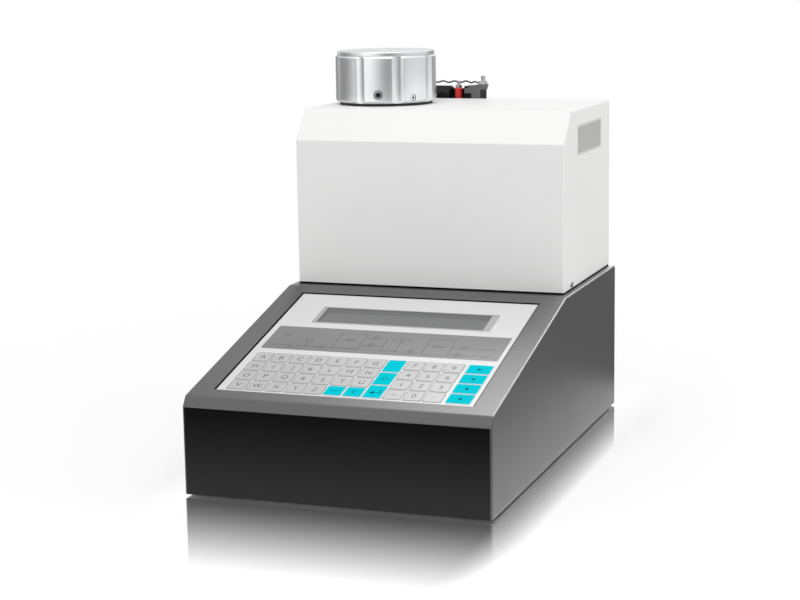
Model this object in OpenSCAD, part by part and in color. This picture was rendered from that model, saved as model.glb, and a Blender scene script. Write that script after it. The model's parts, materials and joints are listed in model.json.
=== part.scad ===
// Bench gas pycnometer: a dark keypad console, a white analysis cover standing on its rear deck,
// and a sample chamber closed by a scalloped lid with a bayonet lock.
// Millimetres, +Z up, +Y to the rear. The origin is on the bench, under the middle of the outline.
// Module places count Y from the console's front face and Z from the bench.

/* [Console] */
// Outer width of the console
console_w = 310; // [300:1:340]
// Depth from the front face to the shell's rear edge
console_d = 485; // [475:1:520]
// Height of the upright front face
front_h = 87; // [70:1:110]
// Run of the bevel over the front face
bevel_run = 6.6; // [4:0.1:12]
// Rise of the bevel over the front face
bevel_rise = 9.8; // [6:0.1:15]
// Height of the rear deck over the shell's lower edge
deck_h = 161; // [145:1:190]
// Depth of the flat rear deck
deck_d = 219.5; // [210:0.5:226]
// Sheet thickness of the console shell
shell_t = 2; // [1.5:0.1:3]
// Outer radius of the console's folds
fold_r = 3.5; // [3.2:0.1:5]
// Width of the folded lips round the lower and rear openings
lip_w = 14; // [12:0.5:18]
// Height of the shell's lower edge over the bench
foot_h = 2; // [1:0.5:8]
// Radius of a rubber foot at the bench
foot_r = 10; // [6:0.5:14]
// Distance of a foot's axis from the shell's sides
foot_inset = 36; // [32:1:60]
// Thickness of the base plate
base_t = 2; // [1.5:0.5:4]

/* [Keypad] */
// Width of the keypad panel
panel_w = 262; // [258:1:275]
// Length of the keypad panel up the slope
panel_l = 233.5; // [232:0.5:238]
// Bare slope below the panel
panel_low = 16; // [12:0.5:20]
// Depth of the panel's face under the slope
panel_sink = 1; // [0.5:0.1:1.2]
// Corner radius of the panel
panel_r = 2; // [0.5:0.5:4]
// Thickness of the switch board
board_t = 1.6; // [1:0.1:2.5]
// Overlap of the switch board under the shell
board_lap = 7; // [4:0.5:10]
// Distance from row to row
pitch_v = 20.8; // [20:0.1:21.2]
// Gap between two keys
key_gap = 1.6; // [1.2:0.1:2.5]
// Left margin of the keys on the panel
key_margin_u = 10; // [8:0.5:12]
// Right margin of the keys on the panel
key_margin_right = 5; // [4:0.5:12]
// Lower margin of the keys on the panel
key_margin_v = 4.5; // [3:0.5:7]
// Left edge of the wide column, past the last number column
wide_step = 2.3; // [1:0.1:3]
// Width of a key of the wide column
wide_w = 24.7; // [18:0.1:25]
// Corner radius of a key
key_r = 1.5; // [0.5:0.1:3]
// Height of a key's face over the panel
key_rise = 0.45; // [0.2:0.05:1]
// Room under a key
key_room = 0.5; // [0.4:0.05:0.7]
// Gap round a key in the panel
key_fit = 0.25; // [0.15:0.05:0.4]
// Width of the display window
window_w = 192.5; // [185:0.5:200]
// Height of the display window
window_l = 40; // [38:0.5:50]
// Centre of the window to the right of the middle
window_u = 2.2; // [-10:0.1:10]
// Centre of the window up the slope
window_v = 198; // [192:0.5:205]
// Width of the dark viewing area
view_w = 177.5; // [150:0.5:183]
// Height of the dark viewing area
view_l = 35.5; // [25:0.5:37]
// Depth of the display module
display_t = 10; // [6:0.5:16]

/* [Cover] */
// Width of the cover
cover_w = 297; // [290:1:300]
// Depth of the cover
cover_d = 201; // [198:1:206]
// Height of the cover
cover_h = 186.7; // [180:0.1:230]
// Height of the cover's upright front face
cover_face_h = 154.7; // [140:0.1:165]
// Run of the chamfer over the front face
cover_chamfer = 28.4; // [20:0.1:32]
// Rear deck left free behind the cover
cover_setback = 4; // [3:0.5:8]
// Sheet thickness of the cover and of the rear panels
cover_t = 1.5; // [1:0.1:2]
// Outer radius of the cover's folds
cover_fold_r = 2.5; // [2.2:0.1:4]
// Thickness of the seal strip under the cover
gasket_t = 1.3; // [0.8:0.1:2.5]
// Width of the seal strip
gasket_w = 2.2; // [1.5:0.1:2.5]
// Length of the ventilation grille
vent_l = 104.3; // [80:0.1:112]
// Height of the ventilation grille
vent_h = 31.5; // [24:0.1:40]
// Distance of the grille behind the cover's front face
vent_setback = 56.3; // [45:0.1:65]
// Distance of the grille under the cover's top
vent_drop = 17; // [14:0.5:25]
// Distance from slot to slot in the grille
vent_pitch = 4; // [3:0.5:6]
// Width of a slot in the grille
vent_slot = 2.2; // [1:0.1:2.5]
// Rim of the grille round its slots
vent_rim = 2; // [1:0.1:4]
// Distance of the side screws behind the cover's front face
side_screw_setback = 29; // [20:0.5:40]
// Distance of the rear screws from the upper and lower edges
rear_screw_drop = 25; // [20:0.5:40]
// Margin of a rear panel inside its housing
rear_margin = 3; // [1:0.5:5]

/* [Lid] */
// Radius of the lid's grip over the lands
knob_r = 56; // [55:0.1:57]
// Height of the scalloped grip
grip_h = 51; // [47:0.5:60]
// Height of the disc on top of the grip
disc_h = 5; // [3:0.5:8]
// Radius of the disc on top
disc_r = 54.4; // [52:0.1:54.5]
// Number of scallops
scallops = 8; // [8,16]
// Width of a scallop
scallop_w = 13.5; // [10:0.5:17]
// Depth of a scallop
scallop_depth = 2.2; // [1:0.1:2.6]
// Angle of the first land, from +X
land_a = -79; // [-90:0.5:-70]
// Chamfer of the grip's lower edge
grip_low_chamfer = 2.5; // [1:0.1:3]
// Chamfer of the grip's upper edge
grip_top_chamfer = 1.6; // [0.5:0.1:1.6]
// Gap between the cover and the grip
knob_gap = 3; // [2:0.1:6]
// Place of the lid to the right of the middle
lid_x = -86; // [-88:0.5:-82]
// Place of the lid in front of the cover's rear edge
lid_setback = 86.5; // [84:0.5:92]
// Turn from open to locked
lock_turn = 40; // [20:1:60]
// Number of guide screws
guides = 4; // [2,4]
// Height of the guide screws over the grip's lower edge
guide_h = 9.8; // [9:0.1:12]
// Head radius of a guide screw
guide_head_r = 4.9; // [4:0.1:5.2]
// Head length of a guide screw
guide_head_l = 4; // [3:0.1:4.2]
// Shank radius of a guide screw
guide_shank_r = 3; // [2.6:0.1:3.5]
// Radius of a guide screw's plain tip
guide_tip_r = 2.4; // [1.5:0.1:2.5]
// Height of the detent plunger over the grip's lower edge
detent_h = 6; // [5.5:0.1:8]
// Turn of the detent plunger from the land with a guide screw
detent_turn = 41; // [36:0.5:45]
// Radius of the detent plunger
detent_r = 3.4; // [2.5:0.1:3.4]
// Depth of the lid's plug in the chamber
plug_depth = 30; // [22:0.5:34]
// Thickness of the plug's flange
flange_t = 12; // [8:0.5:14]
// Cord diameter of the O-ring
o_ring_cord = 3.5; // [2.5:0.1:4]
// Depth of the O-ring under the neck's top
o_ring_drop = 18; // [14:0.5:19]
// Width of the disc's pressing ring
press_ring_w = 10; // [6:0.5:14]
// Outer margin of the dark ring under the grip
neck_ring_w = 5; // [3:0.1:5.2]

/* [Chamber] */
// Radius of the chamber's bore
bore_r = 36; // [30:0.5:37]
// Radius of the chamber's neck
neck_r = 48; // [47:0.1:48.2]
// Height of the neck over the cover
neck_rise = 29; // [26:0.5:34]
// Depth of the guide slots in the neck
slot_depth = 4; // [3:0.1:5]
// Extra room at the ends of the guide slots
slot_pocket = 0.4; // [0.2:0.1:0.6]
// Radius of the chamber body inside the cover
body_r = 50; // [48.5:0.5:52]
// Radius of the chamber's foot
chamber_foot_r = 57; // [54:0.5:58]
// Thickness of the chamber's foot
chamber_foot_t = 8; // [5:0.5:12]
// Thickness of the manifold plate
plate_t = 13; // [10:0.5:16]
// Height of the sample cup
cup_h = 130; // [100:1:134]
// Wall of the sample cup
cup_wall = 1.2; // [0.8:0.1:2]
// Floor of the sample cup
cup_floor = 1.5; // [1:0.1:3]
// Free height between the cup and the plug
cup_headroom = 8; // [4:0.5:12]

/* [Gas parts] */
// Radius of the gas tubes
tube_r = 1.6; // [1:0.1:2]
// Straight run of the inlet tube inside the cover
inlet_tube_run = 19; // [18:0.5:24]
// Bend radius of the gas tubes
tube_bend_r = 8; // [6:0.5:9]
// Radius of the reference chamber
ref_r = 34; // [28:0.5:36]
// Height of the reference chamber
ref_h = 92; // [70:1:110]
// Place of the reference chamber to the right of the middle
ref_x = 62; // [58:0.5:66]
// Place of the reference chamber in front of the cover's rear edge
ref_setback = 62; // [58:0.5:66]
// Width of the valve block
block_w = 130; // [120:1:140]
// Depth of the valve block
block_d = 34; // [28:0.5:38]
// Height of the valve block
block_h = 40; // [36:0.5:48]
// Centre of the valve block to the right of the middle
block_x = 24; // [20:0.5:28]
// Distance of the valve block behind the cover's front face
block_setback = 22; // [16:0.5:26]
// Height of the lower gas ports over the manifold plate
low_port_h = 14; // [11:0.5:16]
// Height of the upper gas ports over the manifold plate
high_port_h = 28; // [24:0.5:32]
// Width of the wiring opening in the rear deck
pass_w = 60; // [30:1:80]
// Depth of the wiring opening in the rear deck
pass_d = 20; // [10:1:24]
// Number of solenoid valves
valves = 4; // [2:1:4]
// Side of a solenoid coil
coil_w = 22; // [16:0.5:26]
// Height of a solenoid coil
coil_h = 34; // [24:0.5:44]
// Radius of the pressure transducer
sensor_r = 12; // [8:0.5:16]
// Height of the pressure transducer
sensor_h = 46; // [30:0.5:60]
// Place of the vent fitting to the right of the middle
vent_port_x = 112; // [108:0.5:115]
// Bore radius of the gas ports, for a 6 mm tube
port_bore_r = 3.05; // [3:0.01:3.2]
// Bore depth of the gas ports
port_bore_l = 14; // [10:0.5:16]

/* [Rear inlet] */
// Thickness of the bracket on the rear panel
bracket_t = 3; // [2:0.5:5]
// Depth of the flange on the bracket's ear
ear_d = 10; // [9:0.5:14]
// Left edge of the ear
ear_left = -22.6; // [-26:0.1:-20]
// Right edge of the ear
ear_right = 4.8; // [2:0.1:8]
// Place where the ear's top levels off
ear_knee = -6.5; // [-9:0.1:-6.3]
// Height of the ear's left corner over the cover
ear_low_rise = 10.9; // [9:0.1:12]
// Height of the ear's level stretch over the cover
ear_rise = 15.9; // [14:0.1:18]
// Radius of the ear's right corner
ear_r = 1.2; // [0.5:0.1:1.2]
// Height of the ear's bar at its ends
ear_bar = 5.2; // [4:0.1:6]
// Left edge of the ear's leg
leg_left = -14.3; // [-17:0.1:-12]
// Right edge of the ear's leg
leg_right = -4.4; // [-6:0.1:-3]
// Distance of the ear's bolt from its right edge
ear_bolt_in = 6.1; // [6.1:0.1:8]
// Radius of the regulator's body
reg_r = 14.5; // [12:0.1:16]
// Height of the regulator's top over the cover
reg_rise = 13.2; // [11:0.1:15]
// Right end of the regulator's body
reg_right = -42.5; // [-46:0.1:-40]
// Length of the regulator's body
reg_l = 34; // [28:0.5:38]
// Place of the red cap
cap_x = -33; // [-36:0.1:-30]
// Radius of the red cap
cap_r = 4.2; // [3:0.1:5]
// Height of the red cap over the cover
cap_rise = 11.6; // [9:0.1:13]
// Edge rounding of the red cap
cap_round = 1.6; // [1:0.1:2.5]
// Radius of the bolt on the bracket
bolt_r = 2.4; // [1.8:0.1:2.5]
// Height of a bolt over its nut
bolt_over = 6; // [3:0.1:8]
// Radius of the sensor lead
lead_r = 0.9; // [0.5:0.1:1.1]
// Height of the lead's middle over the regulator
lead_rise = 4.4; // [3:0.1:6]
// Height of the lead's waves
lead_wave = 0.8; // [0:0.1:1.2]
// Length of the lead's waves
lead_period = 14; // [10:0.5:20]

/* [Electrics] */
// Centre of the mains inlet from the console's left side
inlet_in = 60; // [50:1:75]
// Centre of the mains inlet over the shell's lower edge
inlet_rise = 72; // [60:1:90]
// Width of the mains inlet's flange
inlet_w = 50; // [46:1:60]
// Height of the mains inlet's flange
inlet_l = 66; // [64:1:76]
// Lap of the mains inlet's flange on the rear panel
inlet_lap = 5; // [3:0.5:6]
// Depth of the mains inlet inside the console
inlet_d = 26; // [22:0.5:34]
// Width of the inlet's socket
socket_w = 24.6; // [24:0.1:26]
// Height of the inlet's socket
socket_l = 16.6; // [16:0.1:18]
// Depth of the inlet's socket
socket_d = 17; // [15:0.5:18]
// Width of the rocker
rocker_w = 13; // [10:0.5:18]
// Height of the rocker
rocker_l = 21; // [16:0.5:22]
// Tilt of the rocker each way
rocker_tilt = 7; // [4:0.5:8]
// Centre of the serial port from the console's right side
serial_in = 95; // [60:1:130]
// Centre of the serial port over the shell's lower edge
serial_rise = 72; // [50:1:100]

/* [Fits] */
// Seat clearance of fitted parts
seat_fit = 0.3; // [0.1:0.05:0.35]
// Running clearance of the lid round the neck
lid_fit = 0.5; // [0.3:0.05:0.6]
// Running clearance of the guide tips in their slots
slot_fit = 0.4; // [0.3:0.05:0.6]
// Clearance of a screw in its hole
screw_fit = 0.15; // [0.1:0.05:0.3]
// Clearance of the O-ring in the bore
o_ring_fit = 0.15; // [0.1:0.05:0.25]

/* [Hidden] */
$fn = 64;
// Overshoot of every cut
cut = 1;
// Steps of a fold's arc, and of a small corner's
arc_steps = 6;
small_arc_steps = 3;
slope_top = console_d - deck_d;
slope_low = front_h + bevel_rise;
slope_a = atan2(deck_h - slope_low, slope_top - bevel_run);
deck_z = foot_h + deck_h;
base_top = foot_h + shell_t + base_t;
shell_screw_inset = shell_t + lip_w / 2;
inlet_x = inlet_in - console_w / 2;
serial_x = console_w / 2 - serial_in;

cover_back = console_d - cover_setback;
cover_front = cover_back - cover_d;
cover_low = deck_z + gasket_t;
cover_top = cover_low + cover_h;
plate_gap = gasket_w + seat_fit;
plate_top = deck_z + plate_t;
rear_face = cover_back + cover_t;
console_rear_face = console_d + cover_t;
cover_screw_inset = cover_t + lip_w / 2;
side_screw_y = cover_front + side_screw_setback;
side_screw_z = deck_z + plate_t / 2;

lid_y = cover_back - lid_setback;
knob_z = cover_top + knob_gap;
grip_top = knob_z + grip_h;
neck_top = cover_top + neck_rise;
guide_z = knob_z + guide_h;
detent_z = knob_z + detent_h;
skirt_r = neck_r + lid_fit;
plug_r = bore_r - seat_fit;
flange_lap = 1.5;
flange_r = skirt_r + flange_lap;
flange_top = neck_top + flange_t;
well_r = flange_r + lid_fit;
scallop_cut_r = (scallop_w * scallop_w / 4 + scallop_depth * scallop_depth) / (2 * scallop_depth);
land_step = 360 / scallops;
slot_floor_r = neck_r - slot_depth;
slot_half = guide_tip_r + slot_fit;
guide_head_sink = 0.4;
guide_end_r = slot_floor_r + slot_fit;
o_ring_r = bore_r - o_ring_fit - o_ring_cord / 2;
o_ring_z = neck_top - o_ring_drop;
chamber_floor = neck_top - plug_depth - cup_headroom - cup_h;

low_port_z = plate_top + low_port_h;
high_port_z = plate_top + high_port_h;
ref_y = cover_back - ref_setback;
block_y = cover_front + block_setback;
block_back = block_y + block_d;
inlet_tube_x = reg_right - reg_l / 2;
inlet_tube_y = cover_back - inlet_tube_run;

bracket_face = rear_face + bracket_t;
reg_gap = 0.5;
reg_y = bracket_face + reg_r + reg_gap;
reg_z = cover_top + reg_rise - reg_r;
reg_left = reg_right - reg_l;
port_hex_w = 16;
ear_low_z = cover_top + ear_low_rise;
ear_top_z = cover_top + ear_rise;
ear_base_z = reg_z - reg_r / 2;
ear_bolt_x = ear_right - ear_bolt_in;
ear_bolt_y = rear_face + ear_d / 2;
ear_flange_t = 2.2;
coil_gap = 0.2;
coil_left = ear_left - 1;
coil_top = ear_top_z - ear_flange_t - coil_gap;
cap_stand = 4.4;
cap_y = bracket_face + cap_stand + cap_r;
cap_top = cover_top + cap_rise;
shelf_drop = 4;
shelf_z = cover_top - shelf_drop;
nut_h = 3.4;
nut_w = bolt_r * 3.5;
nut_r = nut_w / sqrt(3);

overall_d = reg_y + reg_r;

// Columns and rows of the keypad
key_rows = 4;
letter_cols = 7;
tall_col = letter_cols;
number_col = letter_cols + 1;
number_cols = 3;
last_row_letters = 5;
keys_span = panel_w - key_margin_u - key_margin_right - wide_step - wide_w;
pitch_u = keys_span / (number_col + number_cols);
key_w = pitch_u - key_gap;
key_l = pitch_v - key_gap;
keys_left = -panel_w / 2 + key_margin_u;
keys_low = panel_low + key_margin_v;
keys_l = key_rows * pitch_v - key_gap;
tall_keys = 3;
tall_pitch = (keys_l + key_gap) / tall_keys;
panel_t = shell_t - panel_sink;
key_floor = -shell_t + key_room;
key_t = key_rise - panel_sink - key_floor;
wide_u = col_u(number_col + number_cols) + wide_step;

number_names = [
    ["key_7", "key_8", "key_9"],
    ["key_4", "key_5", "key_6"],
    ["key_1", "key_2", "key_3"],
    ["key_sign", "key_0", "key_point"]
];
tall_names = ["key_page", "key_shift", "key_enter"];
wide_names = ["key_left", "key_right", "key_up", "key_down"];
low_names = ["key_space", "key_clear"];

// Each separate key: name, left edge, lower edge, width, length
number_keys = [
    for (r = [0:key_rows - 1]) for (c = [0:number_cols - 1])
        [number_names[r][c], col_u(number_col + c), row_v(r), key_w, key_l]
];
tall_list = [
    for (i = [0:tall_keys - 1])
        [tall_names[i], col_u(tall_col), tall_v(i), key_w, tall_pitch - key_gap]
];
wide_list = [for (r = [0:key_rows - 1]) [wide_names[r], wide_u, row_v(r), wide_w, key_l]];
low_list = [for (i = [0:1]) [low_names[i], col_u(last_row_letters + i), row_v(key_rows - 1), key_w, key_l]];
cyan_keys = concat(tall_list, wide_list, low_list);
letter_places = [
    for (r = [0:key_rows - 1]) for (c = [0:(r < key_rows - 1 ? letter_cols : last_row_letters) - 1])
        ["", col_u(c), row_v(r), key_w, key_l]
];
key_names = [for (k = concat(number_keys, cyan_keys)) k[0]];

// Left edge of a key column, lower edge of a key row and of a tall key
function col_u(c) = keys_left + c * pitch_u;
function row_v(r) = keys_low + (key_rows - 1 - r) * pitch_v;
function tall_v(i) = keys_low + (tall_keys - 1 - i) * tall_pitch;

// Outlines
function unit(v) = v / norm(v);
function half_angle(a, p, b) = acos(unit(a - p) * unit(b - p)) / 2;
function inward(a, p, b) = unit(unit(a - p) + unit(b - p)) / sin(half_angle(a, p, b));
// Arc of radius r that rounds the corner p between its neighbours a and b
function corner_arc(a, p, b, r, steps = arc_steps) =
    let (
        centre = p + inward(a, p, b) * r,
        run = r / tan(half_angle(a, p, b)),
        from = p + unit(a - p) * run - centre,
        to = p + unit(b - p) * run - centre,
        sweep = 180 - 2 * half_angle(a, p, b)
    )
    [for (i = [0:steps]) let (s = i / steps)
        centre + (from * sin(sweep * (1 - s)) + to * sin(sweep * s)) / sin(sweep)];
// A convex outline with each corner rounded by its own radius, 0 for a sharp one
function rounded(pts, radii, steps = arc_steps) =
    let (n = len(pts))
    [for (i = [0:n - 1]) let (a = pts[(i + n - 1) % n], b = pts[(i + 1) % n])
        each radii[i] > 0 ? corner_arc(a, pts[i], b, radii[i], steps) : [pts[i]]];
// A convex outline moved inwards by d
function inset(pts, d) =
    let (n = len(pts))
    [for (i = [0:n - 1]) pts[i] + inward(pts[(i + n - 1) % n], pts[i], pts[(i + 1) % n]) * d];
function rect(w, l) = [[0, 0], [w, 0], [w, l], [0, l]];
function soft_rect(w, l, r) = rounded(rect(w, l), [r, r, r, r], small_arc_steps);

// Side outlines of the two housings, as Y and Z
console_side = [
    [0, foot_h],
    [0, foot_h + front_h],
    [bevel_run, foot_h + slope_low],
    [slope_top, deck_z],
    [console_d, deck_z],
    [console_d, foot_h]
];
console_folds = [0, 1, 1, 1, 1, 0];
function cover_side(low) = [
    [cover_front, low],
    [cover_front, cover_low + cover_face_h],
    [cover_front + cover_chamfer, cover_top],
    [cover_back, cover_top],
    [cover_back, low]
];
cover_folds = [0, 1, 1, 1, 0];

// Places
module from_front() {
    translate([0, -overall_d / 2, 0]) children();
}
module along_x(w) {
    translate([-w / 2, 0, 0]) rotate([90, 0, 90]) linear_extrude(w) children();
}
module on_slope() {
    translate([0, bevel_run, foot_h + slope_low]) rotate([slope_a, 0, 0]) children();
}
module at_lid() {
    translate([lid_x, lid_y, 0]) children();
}
// Local +Z points outwards from the lid's axis at this angle and height
module radial(angle, z) {
    at_lid() translate([0, 0, z]) rotate([0, 0, angle]) rotate([0, 90, 0]) children();
}
// Local +Z points to the rear
module to_rear(p) {
    translate(p) rotate([-90, 0, 0]) children();
}
module hex(across, h) {
    cylinder(h = h, r = across / sqrt(3), $fn = 6);
}
// A tube along square bends
module tube_run(points, r) {
    last = len(points) - 1;
    for (i = [0:last - 1]) {
        dir = unit(points[i + 1] - points[i]);
        from = points[i] + (i > 0 ? tube_bend_r : 0) * dir;
        to = points[i + 1] - (i + 1 < last ? tube_bend_r : 0) * dir;
        translate(from) point_along(dir) cylinder(h = norm(to - from), r = r);
    }
    if (last > 1) for (i = [1:last - 1]) {
        before = unit(points[i] - points[i - 1]);
        after = unit(points[i + 1] - points[i]);
        tube_elbow(points[i], before, after, r);
    }
}
module point_along(dir) {
    rotate([0, acos(dir[2]), atan2(dir[1], dir[0])]) children();
}
module tube_elbow(p, before, after, r) {
    centre = p + (after - before) * tube_bend_r;
    side = cross(-after, before);
    multmatrix([
        [-after[0], before[0], side[0], centre[0]],
        [-after[1], before[1], side[1], centre[1]],
        [-after[2], before[2], side[2], centre[2]],
        [0, 0, 0, 1]
    ])
        rotate_extrude(angle = 90) translate([tube_bend_r, 0]) circle(r);
}

// Console

module console_shell() {
    opening_w = console_w - 2 * (shell_t + lip_w);
    opening_d = console_d - 2 * (shell_t + lip_w);
    rear_opening_h = deck_h - 2 * (shell_t + lip_w);
    color([0.22, 0.22, 0.23]) from_front() difference() {
        along_x(console_w) polygon(rounded(console_side, console_folds * fold_r));
        along_x(console_w - 2 * shell_t)
            polygon(rounded(inset(console_side, shell_t), console_folds * (fold_r - shell_t)));
        translate([-opening_w / 2, shell_t + lip_w, foot_h - cut])
            cube([opening_w, opening_d, shell_t + 2 * cut]);
        translate([-opening_w / 2, console_d - shell_t - cut, foot_h + shell_t + lip_w])
            cube([opening_w, shell_t + 2 * cut, rear_opening_h]);
        on_slope() translate([-panel_w / 2 - seat_fit, panel_low - seat_fit, -shell_t - cut])
            linear_extrude(shell_t + 2 * cut)
                polygon(soft_rect(panel_w + 2 * seat_fit, panel_l + 2 * seat_fit, panel_r + seat_fit));
        wiring_pass();
        console_rear_screws(console_d)
            translate([0, 0, -shell_t - cut]) cylinder(h = shell_t + 2 * cut, r = screw_r + screw_fit);
    }
}

// Opening for wires and tubes through the rear deck and the manifold plate
module wiring_pass() {
    behind_block = 4;
    translate([block_x - pass_w / 2, block_back + behind_block, deck_z - shell_t - cut])
        cube([pass_w, pass_d, shell_t + plate_t + 2 * cut]);
}

module base_plate() {
    w = console_w - 2 * (shell_t + seat_fit);
    d = console_d - 2 * (shell_t + seat_fit);
    color([0.6, 0.6, 0.62]) from_front() union() {
        translate([-w / 2, shell_t + seat_fit, foot_h + shell_t]) cube([w, d, base_t]);
        board_posts() cylinder(h = post_h, r = post_r);
    }
}

module rubber_feet() {
    flare = 1;
    color([0.08, 0.08, 0.08]) from_front()
        for (s = [-1, 1], y = [foot_inset, console_d - foot_inset])
            translate([s * (console_w / 2 - foot_inset), y, 0])
                cylinder(h = foot_h + shell_t, r1 = foot_r, r2 = foot_r + flare);
}

module console_rear_panel() {
    w = console_w - 2 * rear_margin;
    h = deck_h - 2 * rear_margin;
    color([0.3, 0.3, 0.31]) from_front() difference() {
        translate([-w / 2, console_d, foot_h + rear_margin]) cube([w, cover_t, h]);
        at_inlet() panel_cutout(inlet_body_w, inlet_body_l);
        at_serial() panel_cutout(serial_w, serial_l);
        console_rear_screws(console_d)
            translate([0, 0, -cut]) cylinder(h = cover_t + 2 * cut, r = screw_r + screw_fit);
    }
}

module panel_cutout(w, l) {
    translate([0, 0, -cover_t - cut]) linear_extrude(cover_t + 2 * cut)
        square([w + 2 * seat_fit, l + 2 * seat_fit], center = true);
}

// Pan head screws of the housings
screw_r = 1.6;
screw_head_r = 2.9;
screw_head_h = 1.8;
screw_l = 8;
screw_socket_w = 2.4;
module pan_screw(grip) {
    difference() {
        union() {
            cylinder(h = screw_head_h, r = screw_head_r);
            translate([0, 0, -screw_l - grip]) cylinder(h = screw_l + grip + cut, r = screw_r);
        }
        translate([0, 0, screw_head_h / 2]) hex(screw_socket_w, screw_head_h);
    }
}
module console_rear_screws(face) {
    rear_screw_places(console_w / 2 - shell_screw_inset, foot_h, deck_z, face) children();
}
module cover_rear_screws(face) {
    rear_screw_places(cover_w / 2 - cover_screw_inset, cover_low, cover_top, face) children();
}
module rear_screw_places(out, low, high, face) {
    for (s = [-1, 1], z = [low + rear_screw_drop, high - rear_screw_drop])
        to_rear([s * out, face, z]) children();
}
module side_screw_places() {
    for (s = [-1, 1])
        translate([s * cover_w / 2, side_screw_y, side_screw_z]) rotate([0, s * 90, 0]) children();
}
module housing_screws() {
    color([0.7, 0.7, 0.72]) from_front() {
        side_screw_places() pan_screw(cover_t + plate_gap);
        cover_rear_screws(rear_face) pan_screw(0);
        console_rear_screws(console_rear_face) pan_screw(0);
    }
}

// Keypad and display

module key_plate(k) {
    on_slope() translate([k[1], k[2], key_floor])
        linear_extrude(key_t) polygon(soft_rect(k[3], k[4], key_r));
}
module key_opening(k) {
    w = k[3] + 2 * key_fit;
    l = k[4] + 2 * key_fit;
    translate([k[1] - key_fit, k[2] - key_fit, -shell_t - cut])
        linear_extrude(shell_t + cut) polygon(soft_rect(w, l, key_r + key_fit));
}
module grey_key(k) {
    color([0.78, 0.78, 0.78]) from_front() key_plate(k);
}
module cyan_key(k) {
    color([0, 0.85, 0.88]) from_front() key_plate(k);
}
module letter_keys() {
    color([0.78, 0.78, 0.78]) from_front() for (k = letter_places) key_plate(k);
}

module keypad_panel() {
    color([0.92, 0.92, 0.92]) from_front() on_slope() difference() {
        translate([-panel_w / 2, panel_low, -shell_t])
            linear_extrude(panel_t) polygon(soft_rect(panel_w, panel_l, panel_r));
        translate([window_u - window_w / 2, window_v - window_l / 2, -shell_t - cut])
            cube([window_w, window_l, shell_t + cut]);
        for (k = concat(letter_places, number_keys, cyan_keys)) key_opening(k);
    }
}

module keypad_board() {
    color([0.82, 0.82, 0.82]) from_front() on_slope() difference() {
        translate([-panel_w / 2 - board_lap, panel_low - board_lap, -shell_t - board_t])
            cube([panel_w + 2 * board_lap, panel_l + 2 * board_lap, board_t]);
        translate([window_u - view_w / 2, window_v - view_l / 2, -shell_t - board_t - cut])
            cube([view_w, view_l, board_t + 2 * cut]);
    }
}

module display_window() {
    color([0.8, 0.85, 0.85, 0.4]) from_front() on_slope()
        translate([window_u - window_w / 2 + key_fit, window_v - window_l / 2 + key_fit, -shell_t])
            cube([window_w - 2 * key_fit, window_l - 2 * key_fit, panel_t]);
}

module display_module() {
    bezel = 5;
    circuit_t = 1.6;
    circuit_lap = 4;
    top = -shell_t - board_t;
    color([0.3, 0.32, 0.32]) from_front() on_slope() translate([window_u, window_v, 0]) union() {
        translate([-view_w / 2 - bezel, -view_l / 2 - bezel, top - display_t])
            cube([view_w + 2 * bezel, view_l + 2 * bezel, display_t]);
        translate([-view_w / 2 - bezel - circuit_lap, -view_l / 2 - bezel - circuit_lap, top - display_t])
            cube([view_w + 2 * (bezel + circuit_lap), view_l + 2 * (bezel + circuit_lap), circuit_t]);
    }
}

// Cover

module top_cover() {
    rear_opening_w = cover_w - 2 * (cover_t + lip_w);
    inner_side = inset(cover_side(cover_low - 2 * cover_t), cover_t);
    color([0.95, 0.95, 0.94]) from_front() difference() {
        along_x(cover_w) polygon(rounded(cover_side(cover_low), cover_folds * cover_fold_r));
        along_x(cover_w - 2 * cover_t)
            polygon(rounded(inner_side, cover_folds * (cover_fold_r - cover_t)));
        translate([-rear_opening_w / 2, cover_back - cover_t - cut, cover_low - cut])
            cube([rear_opening_w, cover_t + 2 * cut, cover_h - cover_t - lip_w + cut]);
        at_lid() translate([0, 0, cover_top - cover_t - cut]) cylinder(h = cover_t + 2 * cut, r = skirt_r);
        vent_place() translate([0, 0, -cover_t - cut]) cube([vent_l, vent_h, cover_t + 2 * cut]);
        side_screw_places() translate([0, 0, -cover_t - cut])
            cylinder(h = cover_t + 2 * cut, r = screw_r + screw_fit);
        cover_rear_screws(cover_back)
            translate([0, 0, -cover_t - cut]) cylinder(h = cover_t + 2 * cut, r = screw_r + screw_fit);
    }
}

module cover_gasket() {
    edge = 0.4;
    w = cover_w - 2 * edge;
    d = cover_d - 2 * edge;
    strip = gasket_w + cover_t - 2 * edge;
    color([0.05, 0.05, 0.05]) from_front() translate([-w / 2, cover_front + edge, deck_z]) difference() {
        cube([w, d, gasket_t]);
        translate([strip, strip, -cut]) cube([w - 2 * strip, d - 2 * strip, gasket_t + 2 * cut]);
    }
}

module cover_rear_panel() {
    w = cover_w - 2 * rear_margin;
    h = cover_h - rear_margin;
    color([0.92, 0.92, 0.91]) from_front() difference() {
        translate([-w / 2, cover_back, cover_low]) cube([w, cover_t, h]);
        cover_rear_screws(cover_back)
            translate([0, 0, -cut]) cylinder(h = cover_t + 2 * cut, r = screw_r + screw_fit);
        to_rear([vent_port_x, cover_back - cut, low_port_z])
            cylinder(h = cover_t + 2 * cut, r = fitting_neck_r + screw_fit);
        to_rear([inlet_tube_x, cover_back - cut, high_port_z])
            cylinder(h = cover_t + 2 * cut, r = tube_r + seat_fit);
    }
}

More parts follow.
